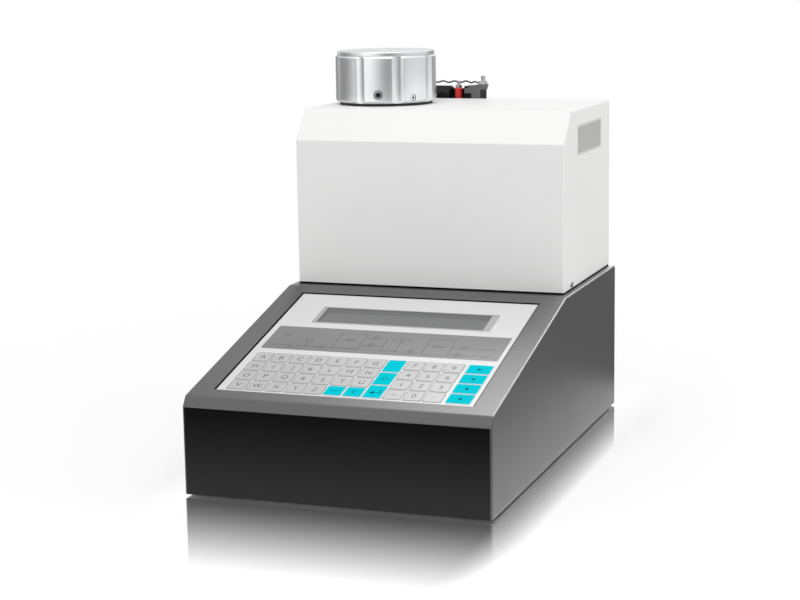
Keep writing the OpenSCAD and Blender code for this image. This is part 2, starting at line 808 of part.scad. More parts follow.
// The grille's lower front corner on the right side, local +Z outwards
module vent_place() {
    translate([cover_w / 2, cover_front + vent_setback, cover_top - vent_drop - vent_h])
        rotate([90, 0, 90]) children();
}
module vent_grille() {
    slots = floor((vent_l - 2 * vent_rim) / vent_pitch);
    first = (vent_l - (slots - 1) * vent_pitch - vent_slot) / 2;
    color([0.62, 0.62, 0.61]) from_front() vent_place() translate([0, 0, -cover_t]) difference() {
        translate([seat_fit, seat_fit, 0]) cube([vent_l - 2 * seat_fit, vent_h - 2 * seat_fit, cover_t]);
        for (i = [0:slots - 1]) translate([first + i * vent_pitch, vent_rim, -cut])
            cube([vent_slot, vent_h - 2 * vent_rim, cover_t + 2 * cut]);
    }
}

// Chamber

module manifold_plate() {
    inset_xy = cover_t + plate_gap;
    color([0.75, 0.75, 0.77]) from_front() difference() {
        translate([-cover_w / 2 + inset_xy, cover_front + inset_xy, deck_z])
            cube([cover_w - 2 * inset_xy, cover_d - 2 * inset_xy, plate_t]);
        side_screw_places() translate([0, 0, -cover_t - plate_gap - screw_l - cut])
            cylinder(h = screw_l + cover_t + plate_gap, r = screw_r + screw_fit);
        wiring_pass();
    }
}

module chamber_body() {
    shoulder_gap = 4;
    shoulder_z = cover_top - cover_t - shoulder_gap;
    color([0.78, 0.78, 0.8]) from_front() difference() {
        at_lid() rotate_extrude() polygon([
            [0, plate_top],
            [chamber_foot_r, plate_top],
            [chamber_foot_r, plate_top + chamber_foot_t],
            [body_r, plate_top + chamber_foot_t],
            [body_r, shoulder_z],
            [neck_r, shoulder_z],
            [neck_r, neck_top],
            [bore_r, neck_top],
            [bore_r, chamber_floor],
            [0, chamber_floor]
        ]);
        for (i = [0:guides - 1]) guide_slot(land_a + i * 360 / guides);
        at_lid() translate([0, 0, low_port_z]) cylinder(h = chamber_floor - low_port_z + cut, r = tube_r);
        radial(0, low_port_z) cylinder(h = body_r + cut, r = tube_r);
    }
}
// A slot that drops from the neck's top and then runs round to a pocket at the locked place
module guide_slot(angle) {
    end_r = slot_half + slot_pocket;
    end_floor_r = slot_floor_r - slot_pocket;
    reach = neck_r - end_floor_r + cut;
    for (a = [angle, angle - lock_turn])
        radial(a, guide_z) translate([0, 0, end_floor_r]) cylinder(h = reach, r = end_r);
    radial(angle, guide_z) translate([-(neck_top - guide_z) - cut, -slot_half, end_floor_r])
        cube([neck_top - guide_z + cut, 2 * slot_half, reach]);
    at_lid() rotate([0, 0, angle - lock_turn]) rotate_extrude(angle = lock_turn)
        translate([slot_floor_r, guide_z - slot_half]) square([reach, 2 * slot_half]);
}

module sample_cup() {
    r = bore_r - seat_fit;
    color([0.7, 0.7, 0.72]) from_front() at_lid() rotate_extrude() polygon([
        [0, chamber_floor],
        [r, chamber_floor],
        [r, chamber_floor + cup_h],
        [r - cup_wall, chamber_floor + cup_h],
        [r - cup_wall, chamber_floor + cup_floor],
        [0, chamber_floor + cup_floor]
    ]);
}

module neck_ring() {
    color([0.06, 0.06, 0.06]) from_front() at_lid() translate([0, 0, cover_top]) difference() {
        cylinder(h = knob_gap - seat_fit, r = skirt_r + neck_ring_w);
        translate([0, 0, -cut]) cylinder(h = knob_gap + 2 * cut, r = skirt_r);
    }
}

// Lid

module lid_grip() {
    ledge = neck_top - seat_fit;
    color([0.82, 0.82, 0.84]) from_front() difference() {
        at_lid() rotate_extrude() polygon([
            [skirt_r, knob_z],
            [knob_r - grip_low_chamfer, knob_z],
            [knob_r, knob_z + grip_low_chamfer],
            [knob_r, grip_top - grip_top_chamfer],
            [knob_r - grip_top_chamfer, grip_top],
            [well_r, grip_top],
            [well_r, ledge],
            [skirt_r, ledge]
        ]);
        for (i = [0:scallops - 1]) at_lid() rotate([0, 0, land_a + (i + 0.5) * land_step])
            translate([knob_r - scallop_depth + scallop_cut_r, 0, knob_z - cut])
                cylinder(h = grip_h + 2 * cut, r = scallop_cut_r);
        for (i = [0:guides - 1]) radial(land_a + i * 360 / guides, guide_z)
            stepped_hole(guide_shank_r, guide_seat_r, guide_head_r);
        radial(land_a + detent_turn, detent_z) stepped_hole(detent_nose_r, detent_seat_r, detent_r);
    }
}

// Hole through the skirt that widens for a screw's head
module stepped_hole(shank_r, seat, head_r) {
    translate([0, 0, skirt_r - cut]) cylinder(h = seat - skirt_r + 2 * cut, r = shank_r + screw_fit);
    translate([0, 0, seat]) cylinder(h = knob_r - seat + cut, r = head_r + screw_fit);
}

module lid_disc() {
    top = grip_top + disc_h;
    edge_r = 1.2;
    ring_r = well_r - seat_fit;
    ring_low = flange_top + seat_fit;
    color([0.84, 0.84, 0.86]) from_front() at_lid() rotate_extrude() polygon(concat(
        [[0, grip_top], [ring_r - press_ring_w, grip_top]],
        [[ring_r - press_ring_w, ring_low], [ring_r, ring_low], [ring_r, grip_top]],
        [[disc_r, grip_top]],
        corner_arc([disc_r, grip_top], [disc_r, top], [0, top], edge_r),
        [[0, top]]
    ));
}

module lid_plug() {
    groove_r = o_ring_r - o_ring_cord / 2 - o_ring_fit / 2;
    groove_half = o_ring_cord / 2 + seat_fit;
    low = neck_top - plug_depth;
    nose = 1.5;
    color([0.72, 0.72, 0.75]) from_front() at_lid() rotate_extrude() polygon([
        [0, low],
        [plug_r - nose, low],
        [plug_r, low + nose],
        [plug_r, o_ring_z - groove_half],
        [groove_r, o_ring_z - groove_half],
        [groove_r, o_ring_z + groove_half],
        [plug_r, o_ring_z + groove_half],
        [plug_r, neck_top],
        [flange_r, neck_top],
        [flange_r, flange_top],
        [0, flange_top]
    ]);
}

module lid_o_ring() {
    color([0.1, 0.1, 0.1]) from_front() at_lid() translate([0, 0, o_ring_z])
        rotate_extrude() translate([o_ring_r, 0]) circle(o_ring_cord / 2);
}

guide_seat_r = knob_r - guide_head_sink - guide_head_l;
detent_l = 5;
detent_nose_r = 1.5;
detent_seat_r = knob_r - guide_head_sink - detent_l;
module lid_screws() {
    guide_socket_w = 5;
    detent_socket_w = 3;
    color([0.6, 0.6, 0.62]) from_front() {
        for (i = [0:guides - 1]) radial(land_a + i * 360 / guides, guide_z) difference() {
            union() {
                translate([0, 0, guide_end_r]) cylinder(h = skirt_r - guide_end_r + cut, r = guide_tip_r);
                translate([0, 0, skirt_r]) cylinder(h = guide_seat_r - skirt_r, r = guide_shank_r);
                translate([0, 0, guide_seat_r]) cylinder(h = guide_head_l, r = guide_head_r);
            }
            translate([0, 0, guide_seat_r + guide_head_l / 2]) hex(guide_socket_w, guide_head_l);
        }
        radial(land_a + detent_turn, detent_z) difference() {
            union() {
                translate([0, 0, skirt_r]) cylinder(h = detent_seat_r - skirt_r, r = detent_nose_r);
                translate([0, 0, detent_seat_r]) cylinder(h = detent_l, r = detent_r);
            }
            translate([0, 0, detent_seat_r + detent_l / 2]) hex(detent_socket_w, detent_l);
        }
    }
}

// Gas parts inside the cover

module reference_chamber() {
    foot = 5;
    foot_lap = 4;
    shoulder = 6;
    color([0.74, 0.74, 0.76]) from_front() translate([ref_x, ref_y, plate_top]) rotate_extrude() polygon([
        [0, 0],
        [ref_r + foot_lap, 0],
        [ref_r + foot_lap, foot],
        [ref_r, foot],
        [ref_r, ref_h - shoulder],
        [ref_r - shoulder, ref_h],
        [0, ref_h]
    ]);
}

module valve_block() {
    color([0.7, 0.7, 0.72]) from_front()
        translate([block_x - block_w / 2, block_y, plate_top]) cube([block_w, block_d, block_h]);
}

module solenoid_valves() {
    stem_r = 6;
    stem_h = 6;
    step = block_w / valves;
    first_x = block_x - block_w / 2 + step / 2;
    color([0.12, 0.12, 0.13]) from_front() for (i = [0:valves - 1])
        translate([first_x + i * step, block_y + block_d / 2, plate_top + block_h]) union() {
            cylinder(h = stem_h, r = stem_r);
            translate([-coil_w / 2, -coil_w / 2, stem_h]) cube([coil_w, coil_w, coil_h]);
            translate([0, 0, stem_h + coil_h]) cylinder(h = stem_h, r = stem_r);
        }
}

module pressure_transducer() {
    nut = 8;
    color([0.66, 0.67, 0.7]) from_front() translate([ref_x, ref_y, plate_top + ref_h]) union() {
        hex(sensor_r * 2, nut);
        translate([0, 0, nut]) cylinder(h = sensor_h - nut, r = sensor_r);
    }
}

module gas_tubes() {
    sample_run = 11;
    feed_gap = 20;
    sample_x = lid_x + body_r + sample_run;
    feed_x = ref_x - ref_r - feed_gap;
    color([0.8, 0.8, 0.82]) from_front() {
        tube_run([
            [lid_x + body_r, lid_y, low_port_z],
            [sample_x, lid_y, low_port_z],
            [sample_x, block_back, low_port_z]
        ], tube_r);
        tube_run([[ref_x, ref_y - ref_r, high_port_z], [ref_x, block_back, high_port_z]], tube_r);
        tube_run([
            [block_x + block_w / 2, block_y + block_d / 2, low_port_z],
            [vent_port_x, block_y + block_d / 2, low_port_z],
            [vent_port_x, cover_back - fitting_inner_l, low_port_z]
        ], tube_r);
        tube_run([
            [inlet_tube_x, cover_back, high_port_z],
            [inlet_tube_x, inlet_tube_y, high_port_z],
            [feed_x, inlet_tube_y, high_port_z],
            [feed_x, block_back, high_port_z]
        ], tube_r);
    }
}

// Bulkhead fitting with a socket for a 6 mm tube
fitting_neck_r = 5;
fitting_nut_w = 14;
fitting_nut_t = 5;
fitting_inner_l = fitting_nut_t + 1;
fitting_nose_r = 6;
fitting_l = port_bore_l + 6;
module vent_fitting() {
    color([0.78, 0.78, 0.8]) from_front() to_rear([vent_port_x, rear_face, low_port_z]) difference() {
        union() {
            hex(fitting_nut_w, fitting_nut_t);
            cylinder(h = fitting_l, r = fitting_nose_r);
            translate([0, 0, -cover_t - fitting_inner_l]) cylinder(h = fitting_l, r = fitting_neck_r);
            translate([0, 0, -cover_t - fitting_nut_t]) hex(fitting_nut_w, fitting_nut_t);
        }
        translate([0, 0, fitting_l - port_bore_l]) cylinder(h = port_bore_l + cut, r = port_bore_r);
    }
}

// Gas inlet behind the cover

module rear_bracket() {
    plate_h = 30;
    plate_side = 4;
    left_r = 1;
    leg_bar = 1.3;
    plate_left = reg_left - plate_side;
    bar_low = ear_top_z - ear_bar;
    outline = rounded([
        [leg_left, ear_base_z - cut],
        [leg_right, ear_base_z - cut],
        [leg_right, bar_low - leg_bar],
        [ear_right, bar_low],
        [ear_right, ear_top_z],
        [ear_knee, ear_top_z],
        [ear_left, ear_low_z],
        [ear_left, ear_low_z - ear_bar],
        [leg_left, ear_low_z - ear_bar]
    ], [0, 0, 0, 0, ear_r, 0, left_r, 0, 0]);
    color([0.45, 0.45, 0.46]) from_front() union() {
        translate([plate_left, rear_face, ear_base_z - plate_h])
            cube([ear_right - plate_left, bracket_t, plate_h]);
        translate([0, bracket_face, 0]) rotate([90, 0, 0]) linear_extrude(bracket_t) polygon(outline);
        translate([ear_bolt_x - nut_r, rear_face, ear_top_z - ear_flange_t])
            cube([2 * nut_r, ear_d, ear_flange_t]);
    }
}

// Regulator with its port to the left, its outlet with a shelf for the cap, the shut-off coil behind the
// ear and the tube down to the panel
module inlet_regulator() {
    edge = 1.5;
    saddle_w = 18;
    saddle_h = 14;
    coil_d = 25;
    coil_low = ear_base_z - reg_r;
    outlet_in = 2;
    outlet_left = reg_right - outlet_in;
    outlet_l = coil_left - coil_gap - outlet_left;
    outlet_low = reg_z - reg_r * 0.6;
    outlet_top = cap_top - cap_round;
    outlet_back = reg_y + reg_r / 2;
    shelf_lap = 0.5;
    shelf_front = cap_y - cap_r - shelf_lap;
    outlet_front = cap_y + cap_r + coil_gap;
    port_floor = 2;
    port_l = port_bore_l + port_floor;
    color([0.07, 0.07, 0.08]) from_front() {
        difference() {
            union() {
                translate([reg_left, reg_y, reg_z]) rotate([0, 90, 0]) rotate_extrude() polygon([
                    [0, 0],
                    [reg_r - edge, 0],
                    [reg_r, edge],
                    [reg_r, reg_l - edge],
                    [reg_r - edge, reg_l],
                    [0, reg_l]
                ]);
                translate([reg_left - port_l, reg_y, reg_z]) rotate([0, 90, 0]) hex(port_hex_w, port_l + cut);
                translate([inlet_tube_x - saddle_w / 2, bracket_face, reg_z - saddle_h / 2])
                    cube([saddle_w, reg_r, saddle_h]);
                translate([outlet_left, outlet_front, outlet_low])
                    cube([outlet_l, outlet_back - outlet_front, outlet_top - outlet_low]);
                translate([outlet_left, shelf_front, outlet_low])
                    cube([outlet_l, outlet_front + shelf_lap - shelf_front, shelf_z - outlet_low]);
            }
            translate([reg_left - port_l - cut, reg_y, reg_z]) rotate([0, 90, 0])
                cylinder(h = port_bore_l + cut, r = port_bore_r);
        }
        translate([coil_left, bracket_face, coil_low])
            cube([leg_right - coil_left, coil_d, coil_top - coil_low]);
        tube_run([
            [inlet_tube_x, reg_y, reg_z - reg_r],
            [inlet_tube_x, reg_y, high_port_z],
            [inlet_tube_x, cover_back, high_port_z]
        ], tube_r);
    }
}

module regulator_cap() {
    cap_h = cap_top - shelf_z;
    color([0.85, 0.16, 0.14]) from_front() translate([cap_x, cap_y, shelf_z])
        rotate_extrude() polygon(concat(
            [[0, 0], [cap_r, 0]],
            corner_arc([cap_r, 0], [cap_r, cap_h], [0, cap_h], cap_round),
            [[0, cap_h]]
        ));
}

module bracket_bolts() {
    cap_share = 0.8;
    color([0.8, 0.8, 0.82]) from_front() {
        translate([ear_bolt_x, ear_bolt_y, ear_top_z]) nut_and_bolt(1);
        translate([cap_x, cap_y, cap_top]) nut_and_bolt(cap_share);
    }
}

module nut_and_bolt(share) {
    union() {
        hex(nut_w * share, nut_h * share);
        cylinder(h = (nut_h + bolt_over) * share, r = bolt_r * share);
    }
}

// Lead from the regulator's top to the ear's nut: two points up, waves that pass behind the cap's bolt, two
// points down
lead_sides = 8;
lead_seat = 0.8;
lead_foot = 8;
lead_bend = 2;
lead_turn = 6;
lead_low = reg_z + reg_r;
lead_start = reg_left + lead_foot;
lead_end = ear_bolt_x - nut_r - lead_seat / 2;
lead_end_z = ear_top_z + lead_r + coil_gap;
function lead_share(x) = max(0, (x - coil_left) / (lead_end - coil_left));
function lead_at(x) = [
    x,
    reg_y + (ear_bolt_y - reg_y) * lead_share(x),
    lead_low + lead_rise - lead_wave * cos(360 * (x - cap_x) / lead_period)
];
lead_points = concat(
    [
        [lead_start, reg_y, lead_low + lead_seat],
        [lead_start + lead_bend, reg_y, lead_low + lead_rise * 0.7]
    ],
    [for (x = [lead_start + lead_turn:lead_period / 6:lead_end - lead_turn]) lead_at(x)],
    [
        [lead_end - lead_bend, ear_bolt_y, lead_end_z + lead_seat],
        [lead_end, ear_bolt_y, lead_end_z]
    ]
);
function lead_ring(i) =
    let (
        n = len(lead_points),
        along = unit(lead_points[min(i + 1, n - 1)] - lead_points[max(i - 1, 0)]),
        side = unit(cross(along, [0, 1, 0])),
        up = cross(side, along)
    )
    [for (s = [0:lead_sides - 1]) let (a = s * 360 / lead_sides)
        lead_points[i] + lead_r * (side * cos(a) + up * sin(a))];
module sensor_lead() {
    n = len(lead_points);
    m = lead_sides;
    walls = [for (i = [0:n - 2], s = [0:m - 1]) let (t = (s + 1) % m)
        each [[i * m + s, i * m + t, (i + 1) * m + t], [i * m + s, (i + 1) * m + t, (i + 1) * m + s]]];
    first_cap = [for (s = [m - 1:-1:0]) s];
    last_cap = [for (s = [0:m - 1]) (n - 1) * m + s];
    color([0.1, 0.1, 0.12]) from_front()
        polyhedron([for (i = [0:n - 1]) each lead_ring(i)], concat(walls, [first_cap, last_cap]));
}

// Electrics

post_r = 3;
post_h = 12;
circuit_w = 190;
circuit_l = 130;
circuit_y = 70;
circuit_t = 1.6;
post_inset = 6;
// Each block on the board: left edge, lower edge, width, length, height
board_blocks = [[30, 40, 40, 40, 4], [90, 50, 24, 30, 4], [130, 20, 40, 14, 8]];
module board_posts() {
    for (s = [-1, 1], y = [circuit_y + post_inset, circuit_y + circuit_l - post_inset])
        translate([s * (circuit_w / 2 - post_inset), y, base_top]) children();
}
module control_board() {
    cans = 4;
    can_pitch = 16;
    can_r = 5;
    can_h = 12;
    first_can = [90, 104, circuit_t];
    color([0.1, 0.35, 0.2]) from_front() translate([-circuit_w / 2, circuit_y, base_top + post_h]) union() {
        cube([circuit_w, circuit_l, circuit_t]);
        for (b = board_blocks) translate([b[0], b[1], circuit_t]) cube([b[2], b[3], b[4]]);
        for (i = [0:cans - 1]) translate(first_can + [i * can_pitch, 0, 0]) cylinder(h = can_h, r = can_r);
    }
}

module power_supply() {
    w = 98;
    l = 150;
    h = 42;
    wall = 1.5;
    slot_step = 9;
    slot_l = 60;
    left = 20;
    behind = 60;
    color([0.66, 0.66, 0.68]) from_front() translate([left, console_d - behind - l, base_top]) difference() {
        cube([w, l, h]);
        for (i = [1:floor(l / slot_step) - 2]) translate([(w - slot_l) / 2, i * slot_step, h - wall])
            cube([slot_l, slot_step / 3, wall + cut]);
    }
}

// Local +Z points out of the rear panel
module at_inlet() {
    to_rear([inlet_x, console_rear_face, foot_h + inlet_rise]) children();
}
module at_serial() {
    to_rear([serial_x, console_rear_face, foot_h + serial_rise]) children();
}
inlet_body_w = inlet_w - 2 * inlet_lap;
inlet_body_l = inlet_l - 2 * inlet_lap;
inlet_flange_t = 2.5;
socket_rim = 4;
rocker_rim = 5;
socket_y = inlet_body_l / 2 - socket_l / 2 - socket_rim;
rocker_y = -inlet_body_l / 2 + rocker_l / 2 + rocker_rim;
rocker_room = 1.4;
rocker_well_d = 11;
pin_w = 2;
pin_l = 4;
pin_spread = 7;
pin_drop = 2;
pin_places = [[-pin_spread, pin_drop], [pin_spread, pin_drop], [0, -pin_drop]];
module mains_inlet() {
    pin_out = 2;
    well_w = rocker_w + 2 * seat_fit;
    well_l = rocker_l + 2 * rocker_room;
    color([0.08, 0.08, 0.08]) from_front() at_inlet() {
        difference() {
            union() {
                translate([-inlet_w / 2, -inlet_l / 2, 0]) cube([inlet_w, inlet_l, inlet_flange_t]);
                translate([-inlet_body_w / 2, -inlet_body_l / 2, -inlet_d])
                    cube([inlet_body_w, inlet_body_l, inlet_d + cut]);
            }
            translate([-socket_w / 2, socket_y - socket_l / 2, inlet_flange_t - socket_d])
                cube([socket_w, socket_l, socket_d + cut]);
            translate([-well_w / 2, rocker_y - well_l / 2, inlet_flange_t - rocker_well_d])
                cube([well_w, well_l, rocker_well_d + cut]);
            for (p = pin_places) translate([p[0], socket_y + p[1], -inlet_d - cut])
                linear_extrude(inlet_d) square([pin_w, pin_l] + [2, 2] * screw_fit, center = true);
        }
        for (p = pin_places) translate([p[0], socket_y + p[1], -inlet_d - socket_d / 3])
            linear_extrude(inlet_d + socket_d / 3 - pin_out) square([pin_w, pin_l], center = true);
    }
}

// Rocker turned to its off side round a pivot inside the well
rocker_pivot = -4;
module power_rocker() {
    middle = 2.4 - rocker_pivot;
    horn = 1.2;
    edge_t = 3;
    hub = 4;
    hub_low = -3.5;
    half = rocker_l / 2;
    color([0.1, 0.1, 0.1]) from_front() at_inlet() translate([0, rocker_y, rocker_pivot])
        rotate([-rocker_tilt, 0, 0]) along_x(rocker_w) polygon([
            [-hub, hub_low],
            [hub, hub_low],
            [half, middle - edge_t],
            [half, middle + horn],
            [0, middle],
            [-half, middle + horn],
            [-half, middle - edge_t]
        ]);
}

// Nine way socket with its two jack screws
serial_w = 20;
serial_l = 11;
module serial_port() {
    flange_w = 31;
    flange_l = 12.6;
    flange_t = 1;
    shell_h = 6;
    body_d = 10;
    jack_pitch = 25;
    jack_w = 4.8;
    jack_h = 4;
    low_half = 8.4;
    high_half = 7.3;
    half_l = 4.1;
    shell_r = 2;
    shell = rounded(
        [[-low_half, -half_l], [low_half, -half_l], [high_half, half_l], [-high_half, half_l]],
        [shell_r, shell_r, shell_r, shell_r]
    );
    color([0.65, 0.66, 0.68]) from_front() at_serial() union() {
        translate([-flange_w / 2, -flange_l / 2, 0]) cube([flange_w, flange_l, flange_t]);
        linear_extrude(shell_h) polygon(shell);
        translate([-serial_w / 2, -serial_l / 2, -body_d]) cube([serial_w, serial_l, body_d + flange_t]);
        for (s = [-1, 1]) translate([s * jack_pitch / 2, 0, flange_t]) hex(jack_w, jack_h);
    }
}

console_shell();
base_plate();
console_rear_panel();
rubber_feet();
housing_screws();
keypad_panel();
keypad_board();
display_window();
display_module();
letter_keys();
top_cover();
cover_gasket();
cover_rear_panel();
vent_grille();
manifold_plate();
chamber_body();
sample_cup();
neck_ring();
lid_grip();
lid_disc();
lid_plug();
lid_o_ring();
lid_screws();
reference_chamber();
valve_block();
solenoid_valves();
pressure_transducer();
gas_tubes();
vent_fitting();
rear_bracket();
inlet_regulator();
regulator_cap();
bracket_bolts();
sensor_lead();
control_board();
power_supply();
mains_inlet();
power_rocker();
serial_port();
for (k = number_keys) grey_key(k);
for (k = cyan_keys) cyan_key(k);
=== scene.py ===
# %% [markdown]
# # Dressing a bench gas pycnometer
# The real object is a dark folded console with a membrane keypad, a white folded cover over the gas
# parts, and a turned aluminium lid on the sample chamber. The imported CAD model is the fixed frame: every
# piece made here is placed from it, in metres, and rides on one of its bodies.

# %% The frame, and an empty stage
import json
import math

import bmesh
import bpy
import numpy as np
from mathutils import Matrix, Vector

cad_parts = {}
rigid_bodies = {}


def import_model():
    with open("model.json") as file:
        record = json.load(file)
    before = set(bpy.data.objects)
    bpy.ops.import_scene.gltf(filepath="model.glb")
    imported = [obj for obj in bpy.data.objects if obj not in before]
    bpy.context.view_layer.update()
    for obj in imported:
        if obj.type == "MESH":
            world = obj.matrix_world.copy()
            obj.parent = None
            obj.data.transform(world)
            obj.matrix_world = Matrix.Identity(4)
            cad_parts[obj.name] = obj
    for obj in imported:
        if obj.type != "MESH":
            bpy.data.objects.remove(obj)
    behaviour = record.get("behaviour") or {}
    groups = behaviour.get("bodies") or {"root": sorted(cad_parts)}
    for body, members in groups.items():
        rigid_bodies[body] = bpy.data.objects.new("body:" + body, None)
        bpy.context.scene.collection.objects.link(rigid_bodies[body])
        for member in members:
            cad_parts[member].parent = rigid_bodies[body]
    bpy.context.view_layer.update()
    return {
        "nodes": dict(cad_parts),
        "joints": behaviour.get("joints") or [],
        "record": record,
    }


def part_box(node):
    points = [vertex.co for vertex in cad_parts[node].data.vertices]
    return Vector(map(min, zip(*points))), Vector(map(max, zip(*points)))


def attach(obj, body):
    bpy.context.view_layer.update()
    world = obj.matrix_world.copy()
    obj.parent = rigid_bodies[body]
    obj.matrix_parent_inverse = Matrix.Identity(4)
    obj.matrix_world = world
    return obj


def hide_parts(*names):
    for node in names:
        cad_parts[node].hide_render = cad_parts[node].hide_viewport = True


for start_object in list(bpy.data.objects):
    bpy.data.objects.remove(start_object)
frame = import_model()
nodes = frame["nodes"]
MM = 0.001

# %% [markdown]
# ## From arrays to a mesh
# Every new surface is a grid of points: rows of closed or open loops. Blender wants corner points and,
# for each face, the numbers of its corners. Working these out as whole arrays keeps the shapes short to
# write, and one function turns them into an object at the origin.

# %% Grids, lofts and joined parts
SQUARE = np.array([(-1.0, -1.0), (1.0, -1.0), (1.0, 1.0), (-1.0, 1.0)])


def grid_quads(rows, cols, close_rows=False, close_cols=False):
    """Corner numbers of a grid's quads: cell (i, j) joins rows i and i + 1 and columns j and j + 1."""
    i, j = np.meshgrid(np.arange(rows if close_rows else rows - 1),
                       np.arange(cols if close_cols else cols - 1), indexing="ij")
    row, below, right = i * cols, (i + 1) % rows * cols, (j + 1) % cols
    return np.stack([row + j, row + right, below + right, below + j], -1).reshape(-1, 4)


def loft(loops, caps=(True, True), close_rows=False):
    """A skin over k closed loops of n points: quads between neighbours, and a flat face on a capped end."""
    k, n = loops.shape[:2]
    faces = grid_quads(k, n, close_rows, True).tolist()
    if caps[0]:
        faces.append(list(range(n))[::-1])
    if caps[1]:
        faces.append(list(range((k - 1) * n, k * n)))
    return loops.reshape(-1, 3), faces


def join(parts):
    """Points and faces of several parts as one: a part's face numbers move past the points before it."""
    starts = np.cumsum([0] + [len(points) for points, _ in parts])
    faces = [[int(c) + int(start) for c in face] for (_, fs), start in zip(parts, starts) for face in fs]
    return np.concatenate([points for points, _ in parts]), faces


quads = grid_quads(3, 4, close_cols=True)
print("3 rows of 4 points, closed across, make", len(quads), "quads; the first is", quads[0])

# %% Objects and pieces
MERGE = 1e-7


def link(name, data):
    """A new object at the origin, in the scene."""
    made = bpy.data.objects.new(name, data)
    bpy.context.scene.collection.objects.link(made)
    return made


def piece(name, skin, body, finishes, face_finish=None, replaces=(), smooth=30, outward=True):
    """A mesh object at the origin from points and faces, riding on a CAD body, and smooth where faces meet at
    less than that angle. Unless they are right already, its faces are turned outwards."""
    points, faces = skin
    mesh = bpy.data.meshes.new(name)
    mesh.from_pydata(np.asarray(points, float).tolist(), [], [list(map(int, f)) for f in faces])
    for paint in finishes:
        mesh.materials.append(paint)
    if face_finish is not None:
        mesh.polygons.foreach_set("material_index", np.asarray(face_finish, np.int32))
    if outward:
        work = bmesh.new()
        work.from_mesh(mesh)
        bmesh.ops.remove_doubles(work, verts=work.verts, dist=MERGE)
        bmesh.ops.recalc_face_normals(work, faces=work.faces)
        work.to_mesh(mesh)
        work.free()
    mesh.shade_smooth()
    mesh.set_sharp_from_angle(angle=math.radians(smooth))
    made = link(name, mesh)
    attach(made, body)
    if replaces:
        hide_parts(*replaces)
    print(f"{name}: {len(mesh.vertices)} points, {len(mesh.polygons)} faces, on {body}")
    return made


def flat_faces(obj):
    """Keeps flat faces flat in the shading: a corner's normal follows the largest face that meets there."""
    obj.modifiers.new("flat faces", "WEIGHTED_NORMAL").keep_sharp = True


# %% Turned parts and outlines
def unit(v):
    """The same directions, of length one."""
    return v / np.linalg.norm(v, axis=-1, keepdims=True)


def full_turn(steps):
    """The angles of that many even steps round a circle."""
    return np.linspace(0, 2 * np.pi, steps, endpoint=False)


def lathe(profile, centre, turns=128):
    """Loops of a turned part: each (radius, height) of the profile is a circle round the vertical axis."""
    a = full_turn(turns)
    r, z = np.asarray(profile, float).T
    ring = np.stack([np.cos(a), np.sin(a)], -1)
    flat = r[:, None, None] * ring[None] + np.asarray(centre)[:2]
    return np.concatenate([flat, np.broadcast_to(z[:, None, None], flat.shape[:2] + (1,))], -1)


def fillet(a, p, b, r, steps=6):
    """Points of the arc of radius r that rounds the corner p between a and b in a plane."""
    a, p, b = (np.asarray(x, float) for x in (a, p, b))
    ua, ub = unit(a - p), unit(b - p)
    half = math.acos(np.clip(ua @ ub, -1, 1)) / 2
    centre = p + unit(ua + ub) * r / math.sin(half)
    start, end = p + ua * r / math.tan(half) - centre, p + ub * r / math.tan(half) - centre
    sweep = math.pi - 2 * half
    s = np.linspace(0, 1, steps + 1)[:, None]
    return centre + (start * np.sin(sweep * (1 - s)) + end * np.sin(sweep * s)) / math.sin(sweep)


def rounded_outline(corners, radii):
    """A closed outline whose corners are arcs of the radii given, or sharp where the radius is 0."""
    n = len(corners)
    runs = [fillet(corners[i - 1], corners[i], corners[(i + 1) % n], radii[i]) if radii[i] else
            np.asarray([corners[i]], float) for i in range(n)]
    return np.concatenate(runs)


def mitre(line, closed=True):
    """At each point of a flat line, the step that moves both its edges by one to their left: the sum of
    the edges' normals, made as long as the corner of the moved edges is away."""
    before, after = np.roll(line, 1, 0), np.roll(line, -1, 0)
    if not closed:
        before[0], after[-1] = 2 * line[0] - line[1], 2 * line[-1] - line[-2]
    edges = np.stack([line - before, after - line])
    left = np.stack([-edges[..., 1], edges[..., 0]], -1)
    both = unit(left).sum(0)
    return 2 * both / np.sum(both * both, 1, keepdims=True)


def inset(loop, d):
    """A closed flat loop drawn in by d, whichever way round it runs."""
    after = np.roll(loop, -1, 0)
    turn = np.sign(np.sum(loop[:, 0] * after[:, 1] - after[:, 0] * loop[:, 1]))
    return loop + d * turn * mitre(loop)


print("a square drawn in by a quarter:", inset(SQUARE, 0.25).tolist())

# %% [markdown]
# ## Camera, floor and world
# The camera stands where a fit to the housings' corners puts it, a little above and to the right of the
# keypad. A pale floor and a white world make the plain background; the floor keeps the shadow, and near
# the object it is as glossy as a polished table, so that the console's front mirrors in it and fades out.

# %% Camera
LENS, SENSOR_W, CLIP_NEAR, CLIP_FAR = 83.745, 36.0, 0.05, 100.0
CAMERA_AT = np.array([0.63290, -1.82288, 0.50093])


def placement(axes, at):
    """The matrix of an object at a place, whose own X, Y and Z axes point in three directions."""
    matrix = np.eye(4)
    matrix[:3, :3] = np.stack(axes, 1)
    matrix[:3, 3] = at
    return Matrix(matrix.tolist())


look = unit(np.array([-0.33373, 0.92604, -0.17627]))
across = np.array([0.94158, 0.33645, -0.01516])
across = unit(across - look * (across @ look))
camera = link("camera", bpy.data.cameras.new("camera"))
camera.data.lens, camera.data.sensor_width = LENS, SENSOR_W
camera.data.clip_start, camera.data.clip_end = CLIP_NEAR, CLIP_FAR
camera.matrix_world = placement((across, np.cross(across, look), -look), CAMERA_AT)
bpy.context.scene.camera = camera
bpy.context.scene.view_settings.view_transform = "Standard"
print("camera at", CAMERA_AT)

# %% Nodes: small helpers for materials
WHITE = (1.0, 1.0, 1.0, 1.0)


